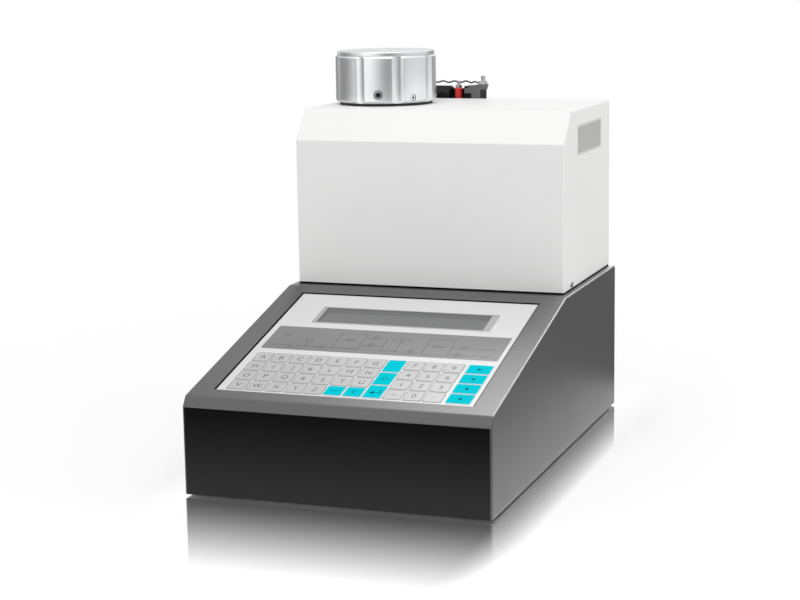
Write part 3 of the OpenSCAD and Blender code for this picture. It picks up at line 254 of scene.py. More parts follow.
def add(tree, kind, **sockets):
    """A shader node of that kind. A name that starts with _ is a property, i and a number is an input by its
    place, any other name is an input. Values are set, and outputs of other nodes are linked."""
    node = tree.nodes.new("ShaderNode" + kind)
    for name, value in sockets.items():
        if name.startswith("_"):
            setattr(node, name[1:], value)
            continue
        by_place = name[0] == "i" and name[1:].isdigit()
        socket = node.inputs[int(name[1:]) if by_place else name.replace("_", " ")]
        if isinstance(value, bpy.types.NodeSocket):
            tree.links.new(value, socket)
        else:
            socket.default_value = value
    return node


def sums(tree, operation, a, b=0.0):
    """The output of a Math node."""
    return add(tree, "Math", _operation=operation, i0=a, i1=b).outputs[0]


def mix(tree, share, first, second):
    """A Mix Shader node, in which the second shader has that share."""
    return add(tree, "MixShader", i0=share, i1=first.outputs[0], i2=second.outputs[0])


def cleared(owner):
    """The emptied node tree of a new material or world."""
    owner.use_nodes = True
    owner.node_tree.nodes.clear()
    return owner.node_tree


def end_with(tree, shader, kind="OutputMaterial"):
    """Links the last shader of a tree to its output node."""
    tree.links.new(shader.outputs[0], add(tree, kind).inputs[0])


def neutral(tone):
    """A colour without a hue."""
    return (tone, tone, tone, 1.0)


# %% White world
WORLD_LIGHT = 0.80


def seen_rays(tree):
    """1 for camera, glossy and transmission rays, which see the white background; 0 for those that light."""
    path = add(tree, "LightPath").outputs
    either = sums(tree, "MAXIMUM", path["Is Camera Ray"], path["Is Glossy Ray"])
    return sums(tree, "MAXIMUM", either, path["Is Transmission Ray"])


world = bpy.data.worlds.new("white studio")
bpy.context.scene.world = world
sky = cleared(world)
level = add(sky, "MapRange", Value=seen_rays(sky), To_Min=WORLD_LIGHT, To_Max=1.0).outputs[0]
end_with(sky, add(sky, "Background", Color=WHITE, Strength=level), "OutputWorld")
print("world: white to the eye, lights with", WORLD_LIGHT)

# %% Polished pale floor
FOOT_HALF, FOOT_MIDDLE_Y = np.array([0.155, 0.2425]), -0.015
MIRROR_REACH, SIDE_STRETCH, FADE_POWER = 0.19, 4.3, 1.6
STEEP, GRAZING, MIRROR_MOST = 0.35, 0.68, 0.95
PALE_NEAR, PALE_FAR, PALE_LEAST = 0.1, 0.7, 0.6
FLOOR_TONE, FLOOR_HALF = 0.9, 12.0


def outside(tree, value, half):
    """How far a coordinate lies outside plus or minus half: 0 inside."""
    return sums(tree, "MAXIMUM", sums(tree, "SUBTRACT", sums(tree, "ABSOLUTE", value), half), 0.0)


def diagonal(tree, a, b):
    """The square root of a squared plus b squared."""
    return sums(tree, "SQRT", sums(tree, "ADD", sums(tree, "MULTIPLY", a, a), sums(tree, "MULTIPLY", b, b)))


def stage_sheet(name, points, faces, paint, z=0.0, seen=True):
    """A flat piece of the stage, which is no part of the object. An unseen one is there for reflections."""
    mesh = bpy.data.meshes.new(name)
    mesh.from_pydata(np.insert(points, 2, z, axis=1).tolist(), [], faces)
    mesh.materials.append(paint)
    sheet = link(name, mesh)
    if not seen:
        sheet.visible_camera = sheet.visible_diffuse = sheet.visible_shadow = False
    return sheet


floor_paint = bpy.data.materials.new("polished pale floor")
ground = cleared(floor_paint)
place = add(ground, "TexCoord").outputs["Object"]
spot = add(ground, "SeparateXYZ", Vector=place).outputs
off_x = outside(ground, spot[0], FOOT_HALF[0])
off_y = outside(ground, sums(ground, "SUBTRACT", spot[1], FOOT_MIDDLE_Y), FOOT_HALF[1])
stretched = diagonal(ground, sums(ground, "MULTIPLY", off_x, SIDE_STRETCH), off_y)
part_way = add(ground, "MapRange", Value=stretched, From_Max=MIRROR_REACH).outputs[0]
fade = sums(ground, "SUBTRACT", 1.0, sums(ground, "POWER", part_way, FADE_POWER))
graze = add(ground, "LayerWeight", Blend=0.5).outputs["Facing"]
shine = add(ground, "MapRange", Value=graze, From_Min=STEEP, From_Max=GRAZING, To_Max=MIRROR_MOST).outputs[0]
lift = add(ground, "MapRange", Value=diagonal(ground, off_x, off_y), From_Min=PALE_NEAR,
           From_Max=PALE_FAR, To_Min=PALE_LEAST, To_Max=1.0).outputs[0]
matt = add(ground, "BsdfDiffuse", Color=neutral(FLOOR_TONE))
white = add(ground, "Emission", Color=WHITE)
pale = mix(ground, sums(ground, "MULTIPLY", seen_rays(ground), lift), matt, white)
polish = add(ground, "BsdfGlossy", Color=WHITE, Roughness=0.0)
end_with(ground, mix(ground, sums(ground, "MULTIPLY", fade, shine), pale, polish))
floor = stage_sheet("floor", SQUARE * FLOOR_HALF, [(0, 1, 2, 3)], floor_paint)
print("floor mirrors as far as", MIRROR_REACH, "m from the object's foot")

# %% [markdown]
# ## Lamps, cards and a cloth
# Soft boxes light the object as in a small studio. Metal and smooth paint show what stands round them, so
# pale and dark cards, and a dark cloth on the floor, give the reflections their shapes. Only the object's
# own reflections see these: the cards let the floor's sharp mirror through, and the cloth has one side.


# %% Soft boxes and cards
def aimed(obj, at, target):
    """Puts an object somewhere, upright, with its -Z axis towards a target."""
    at, target = np.asarray(at, float), np.asarray(target, float)
    back = unit(at - target)
    side = unit(np.cross([0.0, 0.0, 1.0], back))
    obj.matrix_world = placement((side, np.cross(back, side), back), at)


def soft_box(name, at, target, wide, high, watts, lights=True, shines=True):
    """A rectangular area lamp, which lights matt surfaces, shows in glossy ones, or both."""
    lamp = bpy.data.lights.new(name, "AREA")
    lamp.shape, lamp.size, lamp.size_y, lamp.energy = "RECTANGLE", wide, high, watts
    holder = link(name, lamp)
    aimed(holder, at, target)
    holder.visible_diffuse, holder.visible_glossy = lights, shines
    return holder


def card(name, at, target, wide, high, tone, glow=0.0):
    """A matt card, or a glowing one, that only the object's own reflections see."""
    paint = bpy.data.materials.new(name)
    tree = cleared(paint)
    matt = add(tree, "BsdfPrincipled", Base_Color=neutral(tone), Roughness=1.0,
               Emission_Color=WHITE, Emission_Strength=glow)
    from_floor = add(tree, "LightPath").outputs["Is Singular Ray"]
    end_with(tree, mix(tree, from_floor, matt, add(tree, "BsdfTransparent")))
    sheet = stage_sheet(name, SQUARE * [wide / 2, high / 2], [(0, 1, 2, 3)], paint, seen=False)
    aimed(sheet, at, target)


TARGET, DECK_MIDDLE = (0.0, 0.0, 0.2), (0.0, -0.15, 0.13)
soft_box("top soft box", (0.15, -0.6, 2.27), TARGET, 1.8, 1.8, 19)
soft_box("right soft box", (2.4, 0.5, 1.3), TARGET, 1.2, 1.6, 13, shines=False)
soft_box("front soft box", (-1.2, -2.3, 0.8), TARGET, 1.2, 1.2, 2)
back_box = soft_box("back soft box", (0.27, 0.80, 1.10), DECK_MIDDLE, 1.4, 1.3, 45, lights=False)
card("dark card behind the camera", (1.7, -3.5, 0.6), TARGET, 2.2, 1.6, 0.3)
card("dark card left", (-3.6, 0.2, 0.9), TARGET, 3.0, 1.8, 0.36)
card("pale card left of the camera", (-1.32, -2.91, 1.0), TARGET, 2.4, 2.0, 0.8, 0.8)
card("dark card back", (-1.9, 2.6, 2.7), TARGET, 2.6, 1.8, 0.05)
card("dark card right back", (1.3, 3.4, 0.7), TARGET, 2.4, 1.4, 0.4)
print([f"{lamp.name} {lamp.energy:.0f} W" for lamp in bpy.data.lights])

# %% A dark cloth on the floor round the object
CLOTH_GAP, CLOTH_HALF, CLOTH_Z, CLOTH_TONE = 0.105, 4.0, 0.0015, 0.10
cloth_paint = bpy.data.materials.new("dark cloth")
weave = cleared(cloth_paint)
from_below = add(weave, "NewGeometry").outputs["Backfacing"]
dark = add(weave, "BsdfDiffuse", Color=neutral(CLOTH_TONE))
end_with(weave, mix(weave, from_below, dark, add(weave, "BsdfTransparent")))
rims = np.concatenate([SQUARE * CLOTH_HALF, SQUARE * (FOOT_HALF + CLOTH_GAP) + [0, FOOT_MIDDLE_Y]])
rim_faces = grid_quads(2, 4, False, True).tolist()
cloth = stage_sheet("dark floor cloth", rims, rim_faces, cloth_paint, CLOTH_Z, seen=False)
print("cloth faces up:", [round(p.normal.z) for p in cloth.data.polygons])

# %% [markdown]
# ## Finishes
# Powder coat has a fine orange peel and hardly any colour change; moulded plastic has a tighter speckle;
# turned aluminium has rings that follow the tool round the axis; sheet steel is brushed one way. Each of
# these effects is one node group with its own scale, so that several finishes share it. The groups give
# only a tone and a height; the shader, with its plain values, stays in each material.


# %% Effect groups
def effect(build):
    """A node group with Vector and Scale in, Tone and Height out; build makes the two outputs."""
    tree = bpy.data.node_groups.new(build.__name__, "ShaderNodeTree")
    for socket, way, kind in (("Vector", "INPUT", "Vector"), ("Scale", "INPUT", "Float"),
                              ("Tone", "OUTPUT", "Float"), ("Height", "OUTPUT", "Float")):
        tree.interface.new_socket(socket, in_out=way, socket_type="NodeSocket" + kind)
    given, gives = tree.nodes.new("NodeGroupInput"), tree.nodes.new("NodeGroupOutput")
    tone, height = build(tree, given.outputs["Vector"], given.outputs["Scale"])
    tree.links.new(tone, gives.inputs["Tone"])
    tree.links.new(height, gives.inputs["Height"])
    return tree


def noise(tree, vector, scale, detail=2.0, share=None):
    """The value of a noise texture, from 0 to 1 about a half, at a share of the scale if one is given."""
    if share:
        scale = sums(tree, "MULTIPLY", scale, share)
    return add(tree, "TexNoise", Vector=vector, Scale=scale, Detail=detail).outputs[0]


def orange_peel(tree, vector, scale):
    """Height: two sizes of noise added; tone: a much larger noise, as film thickness varies over a panel."""
    fine, coarse = noise(tree, vector, scale, 1.0), noise(tree, vector, scale, 1.0, 0.28)
    return noise(tree, vector, scale, share=0.012), sums(tree, "ADD", fine, coarse)


def speckle(tree, vector, scale):
    """Moulded or printed plastic: height is a tight noise, and tone one that is twenty times as large."""
    return noise(tree, vector, scale, share=0.05), noise(tree, vector, scale, 3.0)


def tool_rings(tree, vector, scale):
    """Rings round the vertical axis: noise of the distance from the axis and the height alone."""
    x, y, z = add(tree, "SeparateXYZ", Vector=vector).outputs
    flat = add(tree, "CombineXYZ", X=x, Y=y).outputs[0]
    radius = add(tree, "VectorMath", _operation="LENGTH", i0=flat).outputs["Value"]
    rings = add(tree, "CombineXYZ", X=radius, Z=z).outputs[0]
    return noise(tree, rings, scale, share=0.1), noise(tree, rings, scale)


def brushed(tree, vector, scale):
    """Brush marks along X: noise that is stretched forty times in that direction."""
    long = add(tree, "VectorMath", _operation="MULTIPLY", i0=vector, i1=(0.025, 1.0, 1.0))
    marks = noise(tree, long.outputs[0], scale, 3.0)
    return marks, marks


PEEL, SPECKLE, RINGS, BRUSH = (effect(build) for build in (orange_peel, speckle, tool_rings, brushed))
print("effects", [group.name for group in bpy.data.node_groups])

# %% A finish from an effect
BUMP_DEPTH, ROUGH_LEAST, ROUGH_MOST = 0.0001, 0.9, 1.1


def finish(name, colour, rough, effect_at, vary, bump, gloss=0.5, metal=0.0, alpha=1.0, centre=(0, 0, 0),
           painted_shade=None):
    """A material: colour and roughness vary with an effect's tone, and a bump follows its height. One number
    as a colour is a grey; painted_shade is two heights, and the share of the colour that the upper one keeps:
    a painted shade that darkens the colour upwards."""
    group, scale = effect_at
    made = bpy.data.materials.new(name)
    made.use_nodes = True
    tree = made.node_tree
    shader = tree.nodes["Principled BSDF"]
    place = add(tree, "TexCoord").outputs["Object"]
    moved = add(tree, "Mapping", Vector=place, Location=[-c for c in centre]).outputs[0]
    tone, height = add(tree, "Group", _node_tree=group, Vector=moved, Scale=scale).outputs
    plain = np.broadcast_to(colour, 3).tolist()
    dark, light = ([min(1.0, c * (1 + sign * vary)) for c in plain] + [1.0] for sign in (-1, 1))
    shade = add(tree, "Mix", _data_type="RGBA", i0=tone, i6=dark, i7=light).outputs[2]
    # Painted shade: the colour darkens from the lower height to the upper one.
    if painted_shade:
        up = add(tree, "SeparateXYZ", Vector=place).outputs[2]
        share = add(tree, "MapRange", Value=up, From_Min=painted_shade[0], From_Max=painted_shade[1], To_Min=1.0,
                    To_Max=painted_shade[2]).outputs[0]
        shade = add(tree, "Mix", _data_type="RGBA", _blend_type="MULTIPLY", i0=1.0, i6=shade,
                    i7=share).outputs[2]
    rougher = add(tree, "MapRange", Value=tone, To_Min=rough * ROUGH_LEAST, To_Max=rough * ROUGH_MOST)
    raised = add(tree, "Bump", Height=height, Strength=bump, Distance=BUMP_DEPTH)
    tree.links.new(shade, shader.inputs["Base Color"])
    tree.links.new(rougher.outputs[0], shader.inputs["Roughness"])
    tree.links.new(raised.outputs[0], shader.inputs["Normal"])
    shader.inputs["Metallic"].default_value = metal
    shader.inputs["Specular IOR Level"].default_value = gloss
    shader.inputs["Alpha"].default_value = alpha
    return made


# %% Coats on sheet
COAT = (PEEL, 900)
dark_coat = finish("dark powder coat", (0.066, 0.066, 0.0665), 0.42, COAT, 0.04, 0.05, gloss=0.75)
# The black front is painted darker towards its top. This is a painted shade, and the lower part is lighter as
# if lit from the floor.
front_coat_and_shade = finish("black front coat with painted shade", 0.028, 0.4, COAT, 0.04, 0.05, gloss=0.07, painted_shade=(0.002, 0.095, 0.05))
white_coat = finish("white powder coat", (0.78, 0.78, 0.775), 0.45, COAT, 0.015, 0.05, gloss=0.35)
grille_coat = finish("grey grille coat", (0.62, 0.62, 0.61), 0.5, COAT, 0.05, 0.06)
bracket_coat = finish("grey bracket coat", 0.12, 0.45, COAT, 0.1, 0.08)
print("coats", [m.name for m in bpy.data.materials if "coat" in m.name])

# %% Film, prints and inks
PRINT = (SPECKLE, 2500)
film = finish("white keypad film", 0.62, 0.36, PRINT, 0.012, 0.06, gloss=0.4)
grey_print = finish("grey key print", 0.44, 0.36, PRINT, 0.02, 0.06, gloss=0.4)
cyan_print = finish("cyan key print", (0.0, 0.51, 0.60), 0.4, PRINT, 0.02, 0.06, gloss=0.003)
band_print = finish("mid grey print", 0.195, 0.4, PRINT, 0.03, 0.06, gloss=0.3)
strip_print = finish("light grey print", 0.40, 0.4, PRINT, 0.02, 0.05)
key_ink = finish("dark ink", (0.045, 0.045, 0.048), 0.5, PRINT, 0.1, 0.05)
band_ink = finish("grey ink", 0.03, 0.5, PRINT, 0.1, 0.05)
cyan_ink = finish("deep cyan ink", (0.0, 0.10, 0.13), 0.5, PRINT, 0.1, 0.05, gloss=0.01)
white_ink = finish("white ink", 0.75, 0.5, PRINT, 0.03, 0.05)
print("prints and inks", [m.name for m in bpy.data.materials if "print" in m.name or "ink" in m.name])

# %% Metals
lid_low, lid_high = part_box("lid_disc")
LID = np.array([(lid_low.x + lid_high.x) / 2, (lid_low.y + lid_high.y) / 2])
LID_MM = LID / MM
SHEET, DRAWN = (BRUSH, 900), (BRUSH, 1500)
zinc = finish("zinc sheet", (0.52, 0.53, 0.54), 0.38, SHEET, 0.12, 0.1, metal=1.0)
cast_alu = finish("plain aluminium", (0.66, 0.66, 0.67), 0.35, SHEET, 0.08, 0.08, metal=1.0)
turned_alu = finish("turned aluminium", (0.86, 0.865, 0.875), 0.36, (RINGS, 2600), 0.02, 0.015, metal=1.0,
                    centre=(LID[0], LID[1], 0))
steel = finish("plated steel", (0.56, 0.56, 0.57), 0.28, DRAWN, 0.08, 0.06, metal=1.0)
stainless = finish("stainless steel", (0.62, 0.61, 0.60), 0.24, DRAWN, 0.06, 0.06, metal=1.0)
screw_grey = finish("grey screw steel", (0.36, 0.36, 0.365), 0.4, DRAWN, 0.06, 0.05, metal=1.0)
brass = finish("contact brass", (0.72, 0.55, 0.25), 0.3, DRAWN, 0.06, 0.05, metal=1.0)
print("rings of the turned metal run round", LID)

# %% Plastics, rubber and glass
MOULD, SOFT, GLASS = (SPECKLE, 1800), (SPECKLE, 1500), (BRUSH, 1800)
black_mould = finish("black moulded plastic", (0.014, 0.014, 0.015), 0.38, MOULD, 0.15, 0.12)
red_mould = finish("red moulded plastic", (0.78, 0.035, 0.028), 0.32, MOULD, 0.06, 0.06)
black_anodised = finish("black anodised", 0.006, 0.3, MOULD, 0.15, 0.05, gloss=0.15)
# Painted shade for the hollows round the lid's screws and in their sockets.
screw_painted_shade = finish("painted shade in screw gaps and sockets", 0.012, 0.5, MOULD, 0.15, 0.05, gloss=0.2)
# Painted shade for the display's top and left edges.
display_shadow_rim = finish("painted shadow rim of the display", 0.03, 0.4, MOULD, 0.1, 0.05, gloss=0.2)
rubber = finish("black rubber", 0.018, 0.7, SOFT, 0.15, 0.12)
# Black rubber, made blacker as painted shade for the cover's seam and the panel's recess.
seal_black_and_painted_shade = finish("black seal rubber and painted shadow", 0.004, 0.8, SOFT, 0.15, 0.1, gloss=0.05)
board = finish("light grey backing board", 0.55, 0.6, SOFT, 0.05, 0.1)
circuit = finish("green circuit board", (0.03, 0.14, 0.06), 0.4, (SPECKLE, 700), 0.2, 0.1)
clear = finish("clear acrylic", (0.5, 0.51, 0.51), 0.06, (SPECKLE, 300), 0.01, 0.01, gloss=0.2, alpha=0.06)
display_glass = finish("unlit display", (0.135, 0.137, 0.136), 0.3, GLASS, 0.06, 0.02, gloss=0.3)
display_painted_shade = finish("painted shade on the display", (0.095, 0.097, 0.096), 0.3, GLASS, 0.06, 0.02, gloss=0.3)
print(len(bpy.data.materials), "materials in all")

# %% A finish for every slot of the CAD nodes
SLOT_FINISH = {
    "dark_powder": dark_coat, "white_powder": white_coat, "zinc_sheet": zinc, "black_rubber": rubber,
    "screw_steel": steel, "panel_white": film, "key_grey": grey_print, "key_cyan": cyan_print,
    "board_grey": board, "window_clear": clear, "display_dark": display_glass, "grille_grey": grille_coat,
    "machined_aluminium": turned_alu, "cup_steel": stainless, "coil_black": black_mould,
    "red_plastic": red_mould, "bracket_grey": bracket_coat, "circuit_green": circuit,
    "inlet_black": black_mould, "tube_steel": stainless}
for part in frame["record"]["subparts"]:
    nodes[part["node"]].material_slots[0].material = SLOT_FINISH[part["material_slot"]]
nodes["inlet_regulator"].material_slots[0].material = black_anodised
for name in ("manifold_plate", "reference_chamber", "valve_block", "power_supply"):
    nodes[name].material_slots[0].material = cast_alu
print(len(SLOT_FINISH), "slots")

# %% [markdown]
# ## The two folded housings
# The console and the cover are folded from sheet: a side outline with small fold radii, carried across the
# width. The CAD solids leave the two long side edges sharp; on the real sheets the welded edges are ground
# round, and that is where the bright lines in the photograph come from. So the outline is carried across
# the width as loops that pull in over the last two millimetres, the openings are cells left out of the
# grid, and Solidify gives the sheet its thickness.

# %% Loops and cells of a housing, in millimetres from the console's front and the bench
# A cell lies in a face of the housing if its middle is as near as NEAR to that face.
HALF_D, NEAR = 257.5, 0.01


def housing_loops(outline, width, edge_r, stations, keep_low=None):
    """The outline at each station across the width, and drawn in by r(1 - cos t) over the rounded edges.
    Points at keep_low stay at that height."""
    t = np.linspace(0, np.pi / 2, 7)
    edge_x, edge_in = width / 2 - edge_r + edge_r * np.sin(t), edge_r * (1 - np.cos(t))
    x = np.concatenate([-edge_x[::-1], stations, edge_x])
    pulls = np.concatenate([edge_in[::-1], np.zeros(len(stations)), edge_in])
    loops = np.stack([inset(outline, d) for d in pulls])
    if keep_low is not None:
        loops[..., 1] = np.where(outline[None, :, 1] <= keep_low + MERGE, keep_low, loops[..., 1])
    across_x = np.broadcast_to(x[:, None, None], loops.shape[:2] + (1,))
    return np.concatenate([across_x, loops - np.array([HALF_D, 0.0])], -1) * MM


def cells(loops):
    """Quads of the loops' grid, and x, y and z of the middle of each, for leaving some out."""
    quads = grid_quads(loops.shape[0], loops.shape[1], False, True)
    x, y, z = loops.reshape(-1, 3)[quads].mean(1).T / MM
    return quads, x, y + HALF_D, z


def finish_sheet(obj, thickness):
    """Gives a skin whose faces point outwards its inner wall. The rims of its openings are edges of one face
    only; they are marked sharp, so that the flat faces stay flat in the shading."""
    sheet = obj.data
    corner_edges = np.zeros(len(sheet.loops), np.int32)
    sharp = np.zeros(len(sheet.edges), bool)
    sheet.loops.foreach_get("edge_index", corner_edges)
    sheet.edges.foreach_get("use_edge_sharp", sharp)
    rim = np.bincount(corner_edges, minlength=len(sheet.edges)) == 1
    sheet.edges.foreach_set("use_edge_sharp", sharp | rim)
    wall = obj.modifiers.new("sheet", "SOLIDIFY")
    wall.thickness, wall.offset, wall.use_even_offset = thickness, -1.0, True
    flat_faces(obj)
    print(obj.name, "has", int(rim.sum()), "edges on the rims of its openings")


# %% Console skin
CONSOLE_W, CONSOLE_D, CONSOLE_LOW, DECK_Z = 310.0, 485.0, 2.0, 163.0
FRONT_TOP, SLOPE_LOW, SLOPE_HIGH = (0.0, 89.0), (6.6, 98.8), (265.5, DECK_Z)
CONSOLE_FOLD, CONSOLE_EDGE, CONSOLE_SHEET = 3.5, 1.8, 2.0
OPEN_HALF, OPEN_LOW, OPEN_HIGH, BASE_RIM = 139.0, 18.0, 147.0, 16.0
PANEL_GAP, PANEL_ENDS, SLOPE_NEAR = 0.3, (15.7, 249.8), 0.2
PANEL_HALF = (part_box("keypad_panel")[1].x + PANEL_GAP * MM) / MM

slope_a = math.atan2(SLOPE_HIGH[1] - SLOPE_LOW[1], SLOPE_HIGH[0] - SLOPE_LOW[0])
along = np.array([math.cos(slope_a), math.sin(slope_a)])
hole_low, hole_high = (np.array(SLOPE_LOW) + along * v for v in PANEL_ENDS)
console_corners = [(0, CONSOLE_LOW), FRONT_TOP, SLOPE_LOW, hole_low, hole_high, SLOPE_HIGH,
                   (CONSOLE_D, DECK_Z), (CONSOLE_D, OPEN_HIGH), (CONSOLE_D, OPEN_LOW),
                   (CONSOLE_D, CONSOLE_LOW), (CONSOLE_D - BASE_RIM, CONSOLE_LOW), (BASE_RIM, CONSOLE_LOW)]
folded = np.array([0, 1, 1, 0, 0, 1, 1, 0, 0, 0, 0, 0])
console_outline = rounded_outline(console_corners, folded * CONSOLE_FOLD)
stations = np.array([-OPEN_HALF, -PANEL_HALF, PANEL_HALF, OPEN_HALF])
loops = housing_loops(console_outline, CONSOLE_W, CONSOLE_EDGE, stations)
quads, x, y, z = cells(loops)
on_slope = np.abs(z - (SLOPE_LOW[1] + (y - SLOPE_LOW[0]) * math.tan(slope_a))) < SLOPE_NEAR
keypad_hole = on_slope & (np.abs(x) < PANEL_HALF) & (y > hole_low[0]) & (y < hole_high[0])
inner = np.abs(x) < OPEN_HALF
rear_hole = inner & (y > CONSOLE_D - NEAR) & (z > OPEN_LOW) & (z < OPEN_HIGH)
base_hole = inner & (z < CONSOLE_LOW + NEAR) & (y > BASE_RIM) & (y < CONSOLE_D - BASE_RIM)
kept = ~(keypad_hole | rear_hole | base_hole)
is_front = (y < NEAR) & (np.abs(x) < CONSOLE_W / 2 - CONSOLE_EDGE)
points, faces = loft(loops)
skin = (points, quads[kept].tolist() + faces[-2:])
console = piece("console_skin", skin, "root", [dark_coat, front_coat_and_shade],
                np.concatenate([is_front[kept], [0, 0]]), ("console_shell",))
finish_sheet(console, CONSOLE_SHEET * MM)

# %% Cover skin, and its openings for the lid's neck and the grille
COVER_W, COVER_FRONT, COVER_REAR, COVER_LOW, COVER_TOP = 297.0, 280.0, 481.0, 165.2, 351.0
CHAMFER_Z, CHAMFER_Y, COVER_FOLD, COVER_EDGE, COVER_SHEET = 319.0, 308.4, 2.5, 1.5, 1.5
REAR_HALF, REAR_HIGH, GRILLE_GAP = 133.0, 335.5, 0.3
NECK_HALF, NECK_R, NECK_CELLS = 54.0, 48.5, 16


def ring_to_rectangle(outer, low, high):
    """Inner points on a rectangle, one for each outer point, on the ray from the middle; the ones nearest to
    its corners take the corners."""
    centre, half = (low + high) / 2, (high - low) / 2
    ray = outer - centre
    inner = centre + ray / np.max(np.abs(ray) / half, axis=1, keepdims=True)
    for corner in half * SQUARE:
        gap = np.arctan2(ray[:, 1], ray[:, 0]) - math.atan2(corner[1], corner[0])
        inner[np.argmin(np.abs((gap + np.pi) % (2 * np.pi) - np.pi))] = centre + corner
    return inner


lid_y = LID_MM[1] + HALF_D
neck_steps = np.linspace(-NECK_HALF, NECK_HALF, NECK_CELLS + 1)
neck_run = [(lid_y + step, COVER_TOP) for step in neck_steps]
cover_corners = [(COVER_FRONT, COVER_LOW), (COVER_FRONT, CHAMFER_Z), (CHAMFER_Y, COVER_TOP)] + neck_run + [
    (COVER_REAR, COVER_TOP), (COVER_REAR, REAR_HIGH), (COVER_REAR, COVER_LOW)]
folded = np.array([0, 1, 1] + [0] * len(neck_run) + [1, 0, 0])
cover_outline = rounded_outline(cover_corners, folded * COVER_FOLD)
stations = np.sort(np.concatenate([LID_MM[0] + neck_steps, [-REAR_HALF, REAR_HALF]]))
loops = housing_loops(cover_outline, COVER_W, COVER_EDGE, stations, keep_low=COVER_LOW)
quads, x, y, z = cells(loops)
neck_hole = (np.abs(x - LID_MM[0]) < NECK_HALF) & (np.abs(y - lid_y) < NECK_HALF) & (z > COVER_TOP - NEAR)
rear_hole = (np.abs(x) < REAR_HALF) & (y > COVER_REAR - NEAR) & (z < REAR_HIGH)
kept = ~(neck_hole | rear_hole | (z < COVER_LOW + NEAR))
points, faces = loft(loops)
skin = (points, quads[kept].tolist() + faces[-2:-1])

right_ring, gap = loops[-1], GRILLE_GAP * MM
grille_low, grille_high = (np.array(c)[1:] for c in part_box("vent_grille"))
grille_ring = ring_to_rectangle(right_ring[:, 1:], grille_low - gap, grille_high + gap)
grille_loop = np.insert(grille_ring, 0, right_ring[:, 0], axis=1)
sides = zip(SQUARE, np.roll(SQUARE, -1, 0))
square = np.concatenate([np.linspace(start, end, NECK_CELLS, endpoint=False) for start, end in sides])
circle = unit(square)
neck_rings = np.insert(np.stack([circle * NECK_R, square * NECK_HALF]) + LID_MM, 2, COVER_TOP, axis=2) * MM
patches = [loft(pair, (False, False)) for pair in (np.stack([right_ring, grille_loop]), neck_rings)]
cover = piece("cover_skin", join([skin] + patches), "root", [white_coat], replaces=("top_cover",))
finish_sheet(cover, COVER_SHEET * MM)

# %% Seal strip, with a painted shadow in the seam
STRIP_TOP, GASKET_TOP, LEAST_R = COVER_LOW + 0.05, 164.3, 0.3
SEAL = [(0.25, DECK_Z), (0.25, STRIP_TOP), (1.4, STRIP_TOP), (1.4, GASKET_TOP), (3.3, GASKET_TOP),
        (3.3, DECK_Z)]


def seal_loop(d, z):
    """The cover's own plan outline, drawn in by d, at one height."""
    x, front, rear = COVER_W / 2 - d, COVER_FRONT + d - HALF_D, COVER_REAR - d - HALF_D
    corner_r = max(COVER_EDGE - d, LEAST_R)
    plan = rounded_outline([(-x, front), (x, front), (x, rear), (-x, rear)], [corner_r] * 4)
    return np.insert(plan, 2, z, axis=1)


# The strip stands almost flush with the cover's faces and is blacker than rubber: a painted shadow in the
# seam under the cover.
seal = loft(np.stack([seal_loop(d, z) for d, z in SEAL]) * MM, (False, False), True)
piece("cover_seal_strip", seal, "root", [seal_black_and_painted_shade], replaces=("cover_gasket",))

# %% Which way the sheets face
for sheet, inside in ((console, (0, -0.02, 0.05)), (cover, (0, 0.12, 0.25))):
    centres = np.array([p.center for p in sheet.data.polygons])
    normals = np.array([p.normal for p in sheet.data.polygons])
    share = float(np.mean(np.sum((centres - np.array(inside)) * normals, 1) > 0))
    print(sheet.name, "faces pointing outwards:", round(share, 3))

# %% [markdown]
# ## The membrane keypad
# The keypad is one printed film over a switch board. Each key is a slightly raised plate with a plain
# letter, digit or arrow; the grey keys have a thin dark printed frame, and the cyan ones a bare border.
# The CAD press joints give the slope's normal, so a key is worked out flat, as (u across, v up the slope,
# n out of it), and then laid on the slope. Each key is a rounded rectangle carried through a few levels,
# and the letter keys come from one array.

# %% The slope's own frame
press = next(j for j in frame["joints"] if j["name"] == "key_7_press")
OUT = unit(-np.array(press["axis"], float))
ACROSS = np.array([1.0, 0.0, 0.0])
SLOPE_AXES = np.stack([ACROSS, np.cross(OUT, ACROSS), OUT])
SLOPE_FOOT = np.array([0.0, SLOPE_LOW[0] - HALF_D, SLOPE_LOW[1]]) * MM
LEAST_CORNER = 0.02


def corner_points(node):
    """The points of a CAD node, as an array."""
    return np.array([v.co for v in nodes[node].data.vertices], float)


def lay(flat):
    """Points (u, v, n) in millimetres, laid on the slope in the model's frame."""
    return SLOPE_FOOT + np.asarray(flat, float) * MM @ SLOPE_AXES


def slope_box(node):
    """Lowest and highest (u, v, n) of a CAD node, in millimetres."""
    local = (corner_points(node) - SLOPE_FOOT) @ SLOPE_AXES.T / MM
    return local.min(0), local.max(0)


